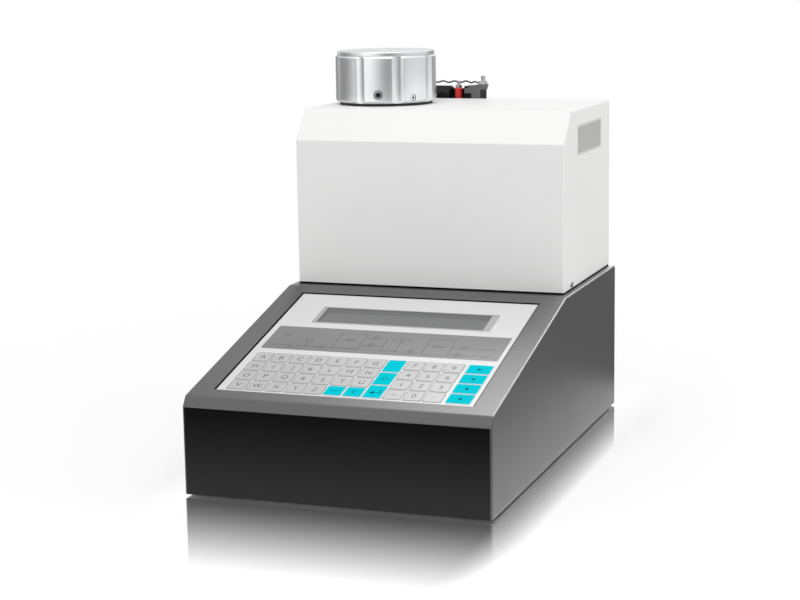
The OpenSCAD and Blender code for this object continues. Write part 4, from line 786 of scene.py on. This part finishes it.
def plates(rects, levels, corner, steps=4):
    """Rounded rectangles (u0, u1, v0, v1) carried through levels (inset, n): points, quads, top faces, and
    the level of each quad. A point is the nearest corner's centre plus (corner - inset) times the direction
    of its place on the arc; where the inset is more than the corner, the centre moves inwards instead."""
    rects, levels = np.asarray(rects, float), np.asarray(levels, float)
    quarter = np.linspace(0, np.pi / 2, steps + 1)
    a = (np.arange(4)[:, None] * np.pi / 2 + quarter[None]).ravel()
    sx, sy = np.repeat([1, -1, -1, 1], steps + 1), np.repeat([1, 1, -1, -1], steps + 1)
    u = np.where(sx[None] > 0, rects[:, 1:2] - corner, rects[:, 0:1] + corner)
    v = np.where(sy[None] > 0, rects[:, 3:4] - corner, rects[:, 2:3] + corner)
    r = np.maximum(corner - levels[:, 0], LEAST_CORNER)
    shift = np.maximum(levels[:, 0] - corner + LEAST_CORNER, 0)
    flat_u = u[:, None] - sx * shift[:, None] + r[:, None] * np.cos(a)
    flat_v = v[:, None] - sy * shift[:, None] + r[:, None] * np.sin(a)
    flat = np.stack([flat_u, flat_v, np.broadcast_to(levels[None, :, 1:2], flat_u.shape)], -1)
    k, n = flat.shape[1:3]
    starts = np.arange(len(rects))[:, None, None] * k * n
    quads = (grid_quads(k, n, False, True)[None] + starts).reshape(-1, 4)
    tops = (np.arange(n)[None] + starts[:, 0] + (k - 1) * n).reshape(-1, n)
    band = np.tile(np.repeat(np.arange(k - 1), n), len(rects))
    return flat.reshape(-1, 3), quads, tops, band


print("the slope's normal", OUT.round(4))

# %% Letters, digits and arrows
WIDEN, CAPITAL = 0.9, 0.7


def lettering(text, size):
    """A text as flat faces about its middle: points (x, y) and faces, with capitals size millimetres high."""
    data = bpy.data.curves.new("lettering", "FONT")
    data.body, data.size = text, size / CAPITAL
    holder = bpy.data.objects.new("lettering", data)
    mesh = bpy.data.meshes.new_from_object(holder)
    flat = np.array([v.co for v in mesh.vertices], float)[:, :2]
    faces = [list(p.vertices) for p in mesh.polygons]
    bpy.data.objects.remove(holder)
    bpy.data.curves.remove(data)
    bpy.data.meshes.remove(mesh)
    return (flat - (flat.min(0) + flat.max(0)) / 2) * [WIDEN, 1.0], faces


def stroke(line, width, closed=False):
    """A flat ribbon along a line: each point is moved half the width to both sides along its mitre."""
    line = np.asarray(line, float)
    off = width / 2 * mitre(line, closed)
    both = np.stack([line + off, line - off], 1).reshape(-1, 2)
    return both, grid_quads(len(line), 2, closed, False).tolist()


def arrow(turn, h=3.0, shaft=0.6):
    """A plain arrow, 2 h long, with a shaft and a head, turned by quarter turns from pointing right."""
    flat = np.array([(-h, -shaft), (0.2 * h, -shaft), (0.2 * h, shaft), (-h, shaft),
                     (-0.2 * h, -0.8 * h), (h, 0), (-0.2 * h, 0.8 * h)])
    c, s = math.cos(turn * math.pi / 2), math.sin(turn * math.pi / 2)
    return flat @ np.array([[c, s], [-s, c]]), [[0, 1, 2, 3], [4, 5, 6]]


def enter_mark():
    """A bent line that ends in a head pointing left."""
    line = stroke([(4.8, 4.6), (4.8, -2.0), (-1.9, -2.0)], 1.0)
    return join([line, (np.array([(-1.0, -5.0), (-5.4, -2.0), (-1.0, 1.0)]), [[0, 1, 2]])])


HOLLOW_ARROW = [(-1.7, -3.6), (1.7, -3.6), (1.7, 0), (3.9, 0), (0, 3.9), (-3.9, 0), (-1.7, 0)]
CYAN_MARKS = {"key_shift": stroke(HOLLOW_ARROW, 0.6, True), "key_enter": enter_mark(), "key_left": arrow(2),
              "key_right": arrow(0), "key_up": arrow(1), "key_down": arrow(3),
              "key_clear": lettering("C", 5.6), "key_space": stroke([(-4.6, 0), (4.6, 0)], 0.9),
              "key_page": None}
print({key: len(mark[1]) for key, mark in CYAN_MARKS.items() if mark}, "faces")

# %% Keys from plates and marks
KEY_EDGE, FRAME_W, BORDER_W, INK_RISE, KEY_CORNER = 0.18, 0.38, 0.15, 0.03, 1.7


def key_levels(low, top, frame_w):
    """A key's levels: its foot, a rounded upper edge, and the inner edge of its frame or bare border."""
    t = np.linspace(0, np.pi / 2, 4)
    edge = [(KEY_EDGE * (1 - math.cos(x)), top - KEY_EDGE + KEY_EDGE * math.sin(x)) for x in t]
    return [(0.0, low)] + edge + [(KEY_EDGE + frame_w, top)]


def make_keys(name, body, rects, low, top, marks, framed, finishes, replaces):
    """One piece for some keys: plates, each key's mark a hair above it, and either a printed frame in the
    mark's ink or a bare border and sides in a third finish."""
    levels = key_levels(low, top, FRAME_W if framed else BORDER_W)
    flat, quads, tops, band = plates(rects, levels, KEY_CORNER)
    parts = [(flat, quads.tolist() + tops.tolist())]
    edge_tint = np.where(band == band.max(), 1, 0) if framed else np.full(len(band), 2)
    tint = np.concatenate([edge_tint, np.zeros(len(tops), int)]).tolist()
    for (u0, u1, v0, v1), mark in zip(rects, marks):
        if mark is not None:
            middle = np.array([(u0 + u1) / 2, (v0 + v1) / 2])
            parts.append((np.insert(mark[0] + middle, 2, top + INK_RISE, axis=1), mark[1]))
            tint += [1] * len(mark[1])
    points, faces = join(parts)
    piece(name, (lay(points), faces), body, finishes, tint, replaces, outward=False)


def one_key(node, mark, framed, finishes):
    """The cap of a key that presses, over its CAD node."""
    low, high = slope_box(node)
    rect = (low[0], high[0], low[1], high[1])
    make_keys(node + "_cap", node, [rect], low[2], high[2], [mark], framed, finishes, (node,))


# %% The grey keys
LETTER, SIGN_LETTER = 7.4, 4.0
ROWS = ["ABCDEFG", "HIJKLMN", "OPQRSTU", "VWXYZ"]
low7, high7 = slope_box("key_7")
PITCH = np.array([slope_box("key_8")[0][0] - low7[0], low7[1] - slope_box("key_4")[0][1]])
first_u = slope_box("letter_keys")[0][0]
corner = np.array([(first_u + col * PITCH[0], low7[1] - row * PITCH[1])
                   for row, text in enumerate(ROWS) for col in range(len(text))])
rects = np.concatenate([corner, corner + high7[:2] - low7[:2]], 1)[:, [0, 2, 1, 3]]
letters = [lettering(letter, LETTER) for letter in "".join(ROWS)]
make_keys("letter_key_caps", "root", rects, low7[2], high7[2], letters, True, [grey_print, key_ink],
          ("letter_keys",))
GREY_MARKS = {"key_" + digit: lettering(digit, LETTER) for digit in "0123456789"}
GREY_MARKS |= {"key_sign": lettering("+/-", SIGN_LETTER), "key_point": lettering(".", LETTER)}
for node, mark in GREY_MARKS.items():
    one_key(node, mark, True, [grey_print, key_ink])

# %% The cyan keys
for node, mark in CYAN_MARKS.items():
    one_key(node, mark, False, [cyan_print, cyan_ink, film])

# %% [markdown]
# ## The printed band
# Between the display and the keys a grey band is printed on the film, with a plain flow diagram of the gas
# path: two chambers as boxes, valves as small rounded boxes, a gauge, and lines. Lines are ribbons along
# points in the panel's plane, a few hundredths of a millimetre above the film.


# %% Outlines for the flow diagram
def rectangle(u0, u1, v0, v1):
    """The corners of an upright rectangle."""
    return [(u0, v0), (u1, v0), (u1, v1), (u0, v1)]


def pill(u, v, long=13.0, high=4.6):
    """The outline of a rounded box about (u, v): two half circles joined by straight lines."""
    t = np.linspace(-np.pi / 2, np.pi / 2, 7)
    right = np.stack([long / 2 - high / 2 + high / 2 * np.cos(t), high / 2 * np.sin(t)], -1)
    return np.concatenate([right, -right]) + [u, v]


def ring(u, v, r):
    """The outline of a circle."""
    t = full_turn(20)
    return np.stack([u + r * np.cos(t), v + r * np.sin(t)], -1)


VALVES = [(-61.5, 121.8), (-12.5, 148), (-12.5, 131.5), (33, 121.3), (84, 137), (82, 121)]
DOTS = [(1.2, 131.5), (1.2, 121.5), (17, 121.4), (-79, 122.3)]
boxes = [rectangle(-50, -23, 123, 156), rectangle(45, 72, 119, 153), rectangle(8, 25, 143, 151)]
boxes += [pill(u, v) for u, v in VALVES] + [ring(u, v, 0.5) for u, v in DOTS]
boxes += [ring(-79, 136, 3.6), rectangle(-95.5, -86, 119.5, 126)]
lines = [[(-106, 123), (-95.5, 123)], [(-86, 122.5), (-68, 122)], [(-79, 132.4), (-79, 122.3)],
         [(-55, 121.8), (-36, 121.8), (-36, 123)], [(-23, 148), (-19, 148)],
         [(-6, 148), (1.2, 148), (1.2, 121.5)], [(-23, 131.5), (-19, 131.5)], [(-6, 131.5), (1.2, 131.5)],
         [(-36, 121.8), (26.5, 121.3)], [(17, 143), (17, 121.4)], [(39.5, 121.2), (45, 121.2)],
         [(72, 137), (77.5, 137)], [(90.5, 137), (104, 137)], [(72, 121), (75.5, 121)],
         [(88.5, 121), (104, 121)]]
CROSS = np.array([(-2.6, -1.5), (2.6, 1.5)])
lines += [CROSS * [1, turn] + valve for valve in VALVES for turn in (1, -1)]
labels = {"P": (16.5, 147, 4.6), "IN": (-111, 123, 3.6), "GAS": (-108, 147, 3.6), "OUT": (110.5, 137, 3.6),
          "VAC": (111, 121, 3.6), "REF": (-36.5, 142, 5.6), "CELL": (58.5, 138.5, 5.6)}
labels |= {f"V{i + 1}": (u, v + 5.2, 3.4) for i, (u, v) in enumerate(VALVES)}
print(len(boxes), "closed outlines,", len(lines), "lines and", len(labels), "labels")

# %% Band and diagram
LINE_W, BAND, BAND_CORNER = 0.55, (-123.5, 125.5, 113.0, 166.5), 0.6
panel_top = slope_box("keypad_panel")[1][2]
parts = [stroke(box, LINE_W, True) for box in boxes] + [stroke(line, LINE_W) for line in lines]
for text, (u, v, size) in labels.items():
    flat, faces = lettering(text, size)
    parts.append((flat + [u, v], faces))
ink_points, ink_faces = join(parts)
ink = np.insert(ink_points, 2, panel_top + 0.08, axis=1)
BAND_LEVELS = [(0, panel_top - 0.02), (0, panel_top + 0.04), (0.05, panel_top + 0.05)]
flat, quads, tops, _ = plates([BAND], BAND_LEVELS, BAND_CORNER)
points, faces = join([(flat, quads.tolist() + tops.tolist()), (ink, ink_faces)])
piece("printed_band", (lay(points), faces), "root", [band_print, band_ink],
      [0] * (len(quads) + len(tops)) + [1] * len(ink_faces), outward=False)

# %% [markdown]
# ## The display and the panel's joint, with painted shade
# The display lies right behind the window, whose rear side is printed with light end strips. From the front
# this is one flat sheet of zones: strips, a thin dark rim and a darker band along the field's top and left
# edges, both painted shade from the window's edge, and the plain unlit field. It is a grid of a few lines
# each way. Round the panel, in the joint to the console's sheet, a black bead is painted shade for the walls
# of the panel's recess.

# %% Display zones
# Zone 0 is the printed strip and zone 3 the unlit field. Zone 1, a thin dark rim, and zone 2, a darker band
# along the top and left, are painted shade.
ZONE_U, ZONE_V = [-95.7, -90.0, -89.0, -85.0, 90.0, 97.7], [180.2, 182.6, 206.0, 218.9, 219.8]
ZONES = [[0, 0, 0, 0, 0], [0, 1, 2, 3, 0], [0, 1, 2, 2, 0], [0, 1, 1, 1, 0]]
sheet_n = slope_box("display_window")[0][2] + 0.07
v, u = np.meshgrid(ZONE_V, ZONE_U, indexing="ij")
flat = np.stack([u, v, np.full(u.shape, sheet_n)], -1).reshape(-1, 3)
piece("display_sheet", (lay(flat), grid_quads(*u.shape)), "root",
      [strip_print, display_shadow_rim, display_painted_shade, display_glass], np.ravel(ZONES),
      outward=False)

# %% Bead round the panel
# The black bead all round the panel is painted shade, standing in for the shade on the walls of its recess.
RECESS_SHADE_LEVELS, RECESS_SHADE_CORNER = [(0.02, -0.02), (0.02, panel_top + 0.05), (1.5, panel_top + 0.04)], 0.8
flat, quads, _, _ = plates([(-PANEL_HALF, PANEL_HALF) + PANEL_ENDS], RECESS_SHADE_LEVELS, RECESS_SHADE_CORNER)
piece("panel_bead", (lay(flat), quads), "root", [seal_black_and_painted_shade], outward=False)

# %% [markdown]
# ## The lid
# The lid is turned from aluminium: a tall grip with eight shallow scallops, a thinner disc on top and small
# chamfers that catch the light. The grip is one grid of angle and profile. Its radius is the turned profile,
# cut back where the ray from the axis meets the cutter that milled a scallop.

# %% Scallops
grip_low, grip_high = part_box("lid_grip")
KNOB_R, KNOB_Z, GRIP_TOP = 56.0, grip_low.z / MM, grip_high.z / MM
SCALLOPS, SCALLOP_W, SCALLOP_D, LAND_A, SECTOR_CELLS = 8, 13.5, 2.2, -79.0, 20
CUTTER_R = (SCALLOP_W ** 2 / 4 + SCALLOP_D ** 2) / (2 * SCALLOP_D)
HALF_STEP = math.pi / SCALLOPS
FIRST = math.radians(LAND_A) + HALF_STEP
NO_CUT = 1e3


def cutter_reach(angle):
    """Distance from the axis to a scallop's cutter along a ray: D cos d - sqrt(R^2 - D^2 sin^2 d), where D
    is how far the cutter's centre is, R its radius and d the angle between; far away where the ray misses."""
    d = (angle - FIRST + HALF_STEP) % (2 * HALF_STEP) - HALF_STEP
    far = KNOB_R - SCALLOP_D + CUTTER_R
    inside = CUTTER_R ** 2 - (far * np.sin(d)) ** 2
    return np.where(inside > 0, far * np.cos(d) - np.sqrt(np.maximum(inside, 0)), NO_CUT)


edge_a = math.asin(SCALLOP_W / 2 / KNOB_R)
sector = np.concatenate([np.linspace(-edge_a, edge_a, SECTOR_CELLS, endpoint=False),
                         np.linspace(edge_a, 2 * HALF_STEP - edge_a, SECTOR_CELLS, endpoint=False)])
angles = (FIRST + np.arange(SCALLOPS)[:, None] * 2 * HALF_STEP + sector[None]).ravel()
print("scallops as deep as", round(KNOB_R - float(cutter_reach(angles).min()), 3), "mm")

# %% Grip
SKIRT_R, FOOT_R, WELL_R, LEDGE_Z, GRIP_SMOOTH = 48.5, 51.0, 50.5, 379.7, 18
LOW_CUT, LOW_R, TOP_CUT = 2.5, 0.8, 1.6
FOOT, LOW_IN, LOW_OUT = (FOOT_R, KNOB_Z), (KNOB_R - LOW_CUT, KNOB_Z), (KNOB_R, KNOB_Z + LOW_CUT)
TOP_OUT, TOP_IN, WELL = (KNOB_R, GRIP_TOP - TOP_CUT), (KNOB_R - TOP_CUT, GRIP_TOP), (WELL_R, GRIP_TOP)
turned_profile = np.concatenate([
    [(SKIRT_R, KNOB_Z), FOOT],
    fillet(FOOT, LOW_IN, LOW_OUT, LOW_R, 4),
    fillet(LOW_IN, LOW_OUT, (KNOB_R, GRIP_TOP), LOW_R, 4),
    np.stack([np.full(5, KNOB_R), np.linspace(KNOB_Z + 8, GRIP_TOP - 6, 5)], -1),
    fillet((KNOB_R, KNOB_Z), TOP_OUT, TOP_IN, 0.5, 3),
    fillet(TOP_OUT, TOP_IN, WELL, 0.4, 3),
    [WELL, (WELL_R, LEDGE_Z), (SKIRT_R, LEDGE_Z)]])
r = np.minimum(turned_profile[:, :1], cutter_reach(angles)[None])
grip_loops = np.stack([LID_MM[0] + r * np.cos(angles), LID_MM[1] + r * np.sin(angles),
                       np.broadcast_to(turned_profile[:, 1:], r.shape)], -1) * MM
grip_skin = loft(grip_loops, (False, False), close_rows=True)
grip = piece("lid_grip_turned", grip_skin, "lid_outer", [turned_alu], replaces=("lid_grip",),
             smooth=GRIP_SMOOTH)

# %% Counterbores for the guide screws and the detent
GUIDE_AT, GUIDE_SEAT, DETENT_AT, DETENT_SEAT = KNOB_Z + 9.8, 51.6, KNOB_Z + 6.0, 50.6
GUIDE_ANGLES, DETENT_ANGLE = [LAND_A + 90 * i for i in range(4)], LAND_A + 41.0
PAST_GRIP, BORE_TURNS, SCREW_TURNS = 60.0, 40, 36


def radial_stack(angle, height, rows, turns):
    """Loops round a ray from the lid's axis at (distance, half width, sides): round ones, or with sides 6 a
    hexagon's half width over cos(t mod 60 - 30)."""
    a = math.radians(angle)
    out, side = np.array([math.cos(a), math.sin(a), 0]), np.array([-math.sin(a), math.cos(a), 0])
    t = full_turn(turns)
    at, half, sides = np.array(rows).T[:, :, None]
    size = np.where(sides == 6, half / np.cos(t % (np.pi / 3) - np.pi / 6), half)
    circle = np.cos(t)[:, None] * side + np.sin(t)[:, None] * np.array([0, 0, 1.0])
    base = np.array([LID_MM[0], LID_MM[1], height])
    return loft((base + out * at[..., None] + size[..., None] * circle) * MM)


guide_bore = [(GUIDE_SEAT, 5.05, 1), (PAST_GRIP, 5.05, 1)]
detent_bore = [(DETENT_SEAT, 3.55, 1), (PAST_GRIP, 3.55, 1)]
holes = [radial_stack(angle, GUIDE_AT, guide_bore, BORE_TURNS) for angle in GUIDE_ANGLES]
holes.append(radial_stack(DETENT_ANGLE, DETENT_AT, detent_bore, BORE_TURNS))
cutter = piece("bore_cutter", join(holes), "lid_outer", [turned_alu])
drill = grip.modifiers.new("counterbores", "BOOLEAN")
drill.operation, drill.object, drill.solver = "DIFFERENCE", cutter, "EXACT"
drilled = bpy.data.meshes.new_from_object(grip.evaluated_get(bpy.context.evaluated_depsgraph_get()))
grip.modifiers.clear()
grip.data = drilled
drilled.set_sharp_from_angle(angle=math.radians(GRIP_SMOOTH))
bpy.data.objects.remove(cutter)
flat_faces(grip)
print("grip after drilling:", len(drilled.polygons), "faces")

# %% Guide screws and the detent
tip_at = float(np.linalg.norm(corner_points("lid_screws")[:, :2] - LID, axis=1).min()) / MM
GUIDE = [(tip_at, 2.4, 1), (SKIRT_R, 2.4, 1), (SKIRT_R, 3.0, 1), (GUIDE_SEAT, 3.0, 1), (GUIDE_SEAT, 4.95, 1),
         (51.9, 4.95, 1), (51.9, 4.4, 1), (55.2, 4.4, 1), (55.45, 4.3, 1), (55.6, 4.0, 1), (55.6, 2.5, 6),
         (53.6, 2.5, 6)]
DETENT = [(48.6, 1.5, 1), (DETENT_SEAT, 1.5, 1), (DETENT_SEAT, 3.45, 1), (50.9, 3.45, 1), (50.9, 3.0, 1),
          (55.4, 3.0, 1), (55.6, 2.8, 1), (55.6, 1.3, 6), (53.1, 1.3, 6)]
# Finish 1 is painted shade: the seat, the head's side inside its counterbore, and the hex socket's walls and
# floor are black where shade falls in the hollows.
GUIDE_TINT, DETENT_TINT, CAP_TINT = [0, 0, 0, 0, 1, 1, 1, 0, 0, 0, 1], [0, 1, 1, 1, 1, 2, 2, 1], [0, 1]
screws = [radial_stack(angle, GUIDE_AT, GUIDE, SCREW_TURNS) for angle in GUIDE_ANGLES]
screws.append(radial_stack(DETENT_ANGLE, DETENT_AT, DETENT, SCREW_TURNS))
tints = (np.repeat(GUIDE_TINT, SCREW_TURNS).tolist() + CAP_TINT) * len(GUIDE_ANGLES)
tints += np.repeat(DETENT_TINT, SCREW_TURNS).tolist() + CAP_TINT
piece("lid_screw_set", join(screws), "lid_outer", [screw_grey, screw_painted_shade, turned_alu], tints,
      ("lid_screws",))

# %% Dark ring under the grip
NECK_RING_R = 51.6
ring_low, ring_high = (corner.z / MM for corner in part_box("neck_ring"))
ring_out = (NECK_RING_R, ring_high)
ring_profile = np.concatenate([
    [(SKIRT_R, ring_low)], fillet((SKIRT_R, ring_low), (NECK_RING_R, ring_low), ring_out, 0.6, 4),
    [ring_out, (SKIRT_R, ring_high)]])
ring_skin = loft(lathe(ring_profile, LID_MM) * MM, (False, False), close_rows=True)
piece("neck_ring_turned", ring_skin, "root", [rubber], replaces=("neck_ring",))

# %% Disc on top
DISC_R, DISC_TOP, DISC_TURNS = 54.4, lid_high.z / MM, 160
RING_R, RING_LOW, RING_W, AXIS_R, DIMPLE_D = 50.2, lid_low.z / MM, 10.0, 0.5, 0.3
disc_profile = np.concatenate([
    [(AXIS_R, GRIP_TOP), (RING_R - RING_W, GRIP_TOP), (RING_R - RING_W, RING_LOW), (RING_R, RING_LOW),
     (RING_R, GRIP_TOP)],
    fillet((RING_R, GRIP_TOP), (DISC_R, GRIP_TOP), (DISC_R, DISC_TOP), 0.4, 3),
    fillet((DISC_R, GRIP_TOP), (DISC_R, DISC_TOP), (0, DISC_TOP), 1.3, 6),
    [(40.0, DISC_TOP), (6.0, DISC_TOP), (5.6, DISC_TOP - DIMPLE_D), (AXIS_R, DISC_TOP - DIMPLE_D)]])
disc_skin = loft(lathe(disc_profile, LID_MM, DISC_TURNS) * MM)
disc = piece("lid_disc_turned", disc_skin, "lid_outer", [turned_alu], replaces=("lid_disc",))
flat_faces(disc)

# %% [markdown]
# ## The lead behind the cover
# A thin insulated lead runs from the regulator to the bracket's nut. It is a tube of constant radius along a
# smooth curve through given points.


# %% Lead
def smooth_route(knots, samples):
    """A curve through all knots: on each span the cubic whose direction at a knot is half the chord of the
    knot's neighbours."""
    knots = np.asarray(knots, float)
    slope = np.gradient(knots, axis=0)
    t = np.linspace(0, 1, samples, endpoint=False)[None, :, None]
    p, q, m, w = knots[:-1, None], knots[1:, None], slope[:-1, None], slope[1:, None]
    ends = (2 * t**3 - 3 * t**2 + 1) * p + (3 * t**2 - 2 * t**3) * q
    spans = ends + (t**3 - 2 * t**2 + t) * m + (t**3 - t**2) * w
    return np.concatenate([spans.reshape(-1, 3), knots[-1:]])


def tube(route, radius, sides=10):
    """Circles square to the route: two axes from the tangent and a fixed sideways direction."""
    tangent = unit(np.gradient(route, axis=0))
    side = unit(np.cross(tangent, [0.0, 1.0, 0.0]))
    up = np.cross(side, tangent)
    a = full_turn(sides)[None, :, None]
    return route[:, None] + radius * (np.cos(a) * side[:, None] + np.sin(a) * up[:, None])


REG_LEFT, REG_Y, REG_TOP, CAP_X, COIL_LEFT = -76.5, 500.5, 364.2, -33.0, -23.6
NUT_X, NUT_Y, NUT_Z, LEAD_R = -6.55, 487.5, 366.9, 0.9
WAVE, WAVE_KNOTS, WAVE_HALF, WAVE_RISE = 14.0, 6, 0.8, 4.4
wave_x = np.arange(REG_LEFT + WAVE, NUT_X - 6, WAVE / WAVE_KNOTS)
wave_y = REG_Y + (NUT_Y - REG_Y) * np.maximum(0, (wave_x - COIL_LEFT) / (NUT_X - COIL_LEFT))
wave_z = REG_TOP + WAVE_RISE - WAVE_HALF * np.cos(2 * np.pi * (wave_x - CAP_X) / WAVE)
lead_knots = np.concatenate([
    [(REG_LEFT + 8, REG_Y, REG_TOP + 0.8), (REG_LEFT + 10, REG_Y, REG_TOP + 3.1)],
    np.stack([wave_x, wave_y, wave_z], -1),
    [(NUT_X - 2, NUT_Y, NUT_Z + LEAD_R + 1.0), (NUT_X, NUT_Y, NUT_Z + LEAD_R + 0.2)]])
route = (smooth_route(lead_knots, 4) - [0, HALF_D, 0]) * MM
lead_skin = loft(tube(route, LEAD_R * MM))
lead = piece("lead_tube", lead_skin, "root", [black_mould], replaces=("sensor_lead",))

# %% [markdown]
# ## Small marks on the rear
# The serial socket is a metal shell round a black insert with nine contacts, and the power rocker has the
# plain stroke and circle of every mains switch. Both start from the CAD solids: the insert follows the
# shell's own end outline, and the marks lie on the rocker's two faces, so that they tilt with it.

# %% Serial insert
PIN_TURNS = 14


def rear_circles(middles, levels):
    """Stacked circles that face the rear: round each middle (x, z), one loop for each level (radius, y)."""
    t = full_turn(PIN_TURNS)
    levels = np.asarray(levels, float)
    x = middles[:, 0, None, None] - levels[None, :, :1] * np.cos(t)
    z = middles[:, 1, None, None] + levels[None, :, :1] * np.sin(t)
    return np.stack([x, np.broadcast_to(levels[None, :, 1:], x.shape), z], -1)


port = corner_points("serial_port") / MM
end_y = port[:, 1].max()
end = np.unique(np.round(port[port[:, 1] > end_y - NEAR][:, [0, 2]], 3), axis=0)
centre = (end.min(0) + end.max(0)) / 2
end = end[np.argsort(np.arctan2(*(end - centre).T[::-1]))]
WALL, PIN_STEP, PIN_ROW = 0.8, 2.77, 2.84
INSERT = [(WALL, -0.05), (WALL, 0.1), (WALL + 0.15, 0.16)]
CONTACT = [(0.75, end_y + 0.1), (0.75, end_y + 0.2), (0.45, end_y + 0.2), (0.45, end_y + 0.17)]
insert_loops = np.stack([np.insert(inset(end, d), 1, end_y + y, axis=1) for d, y in INSERT])
upper_half = np.abs(end[end[:, 1] > centre[1] + 2] - centre).max(0)[0]
lower_half = np.abs(end[end[:, 1] < centre[1] - 2] - centre).max(0)[0]
wide_up = 1 if upper_half > lower_half else -1
pins = np.array([((i - (n - 1) / 2) * PIN_STEP, row * wide_up * PIN_ROW / 2)
                 for n, row in ((5, 1), (4, -1)) for i in range(n)])
parts = [loft(insert_loops * MM, (False, True))]
parts += [loft(loops * MM, (False, True)) for loops in rear_circles(pins + centre, CONTACT)]
tints = [0] * len(parts[0][1]) + ([1] * PIN_TURNS * (len(CONTACT) - 1) + [0]) * len(pins)
piece("serial_insert", join(parts), "root", [black_mould, brass], tints, outward=False)

# %% Rocker marks
CIRCLE_MARK, STROKE_MARK = stroke(ring(0, 0, 2.0), 0.7, True), stroke([(0, -2.3), (0, 2.3)], 0.8)
rocker = corner_points("power_rocker") / MM
rocker_x = (rocker[:, 0].min() + rocker[:, 0].max()) / 2
profile, mid_z = rocker[:, 1:], (rocker[:, 2].min() + rocker[:, 2].max()) / 2
zones = (profile[:, 1] > mid_z + 6, profile[:, 1] < mid_z - 6, np.abs(profile[:, 1] - mid_z) < 3)
upper, lower, crease = (profile[zone][np.argmax(profile[zone][:, 0])] for zone in zones)
marks = []
for horn, other in ((upper, lower), (lower, upper)):
    run = unit(horn - crease)
    out = np.array([abs(run[1]), -run[0] * np.sign(run[1])])
    flat, faces = CIRCLE_MARK if horn[0] < other[0] else STROKE_MARK
    spot = (horn + crease) / 2 + flat[:, 1:] * run + out * INK_RISE
    marks.append((np.insert(spot, 0, rocker_x + flat[:, 0], axis=1) * MM, faces))
piece("rocker_marks", join(marks), "rocker", [white_ink], outward=False)

# %% [markdown]
# ## A flag for the back soft box
# The back soft box is there for the sheen on the sloping deck, and would burn out the bright metal above it.
# A photographer holds up a flag, a dark sheet, between the two. Here the box simply leaves out the pieces
# that lie above the deck.

# %% Flag
FLAG_Z = 0.164
flag = bpy.data.collections.new("behind the flag")
for obj in [o for o in bpy.data.objects if o.type == "MESH" and o not in (floor, cloth)]:
    if min(corner[2] for corner in obj.bound_box) > FLAG_Z:
        flag.objects.link(obj)
for member in flag.collection_objects:
    member.light_linking.link_state = "EXCLUDE"
back_box.light_linking.receiver_collection = flag
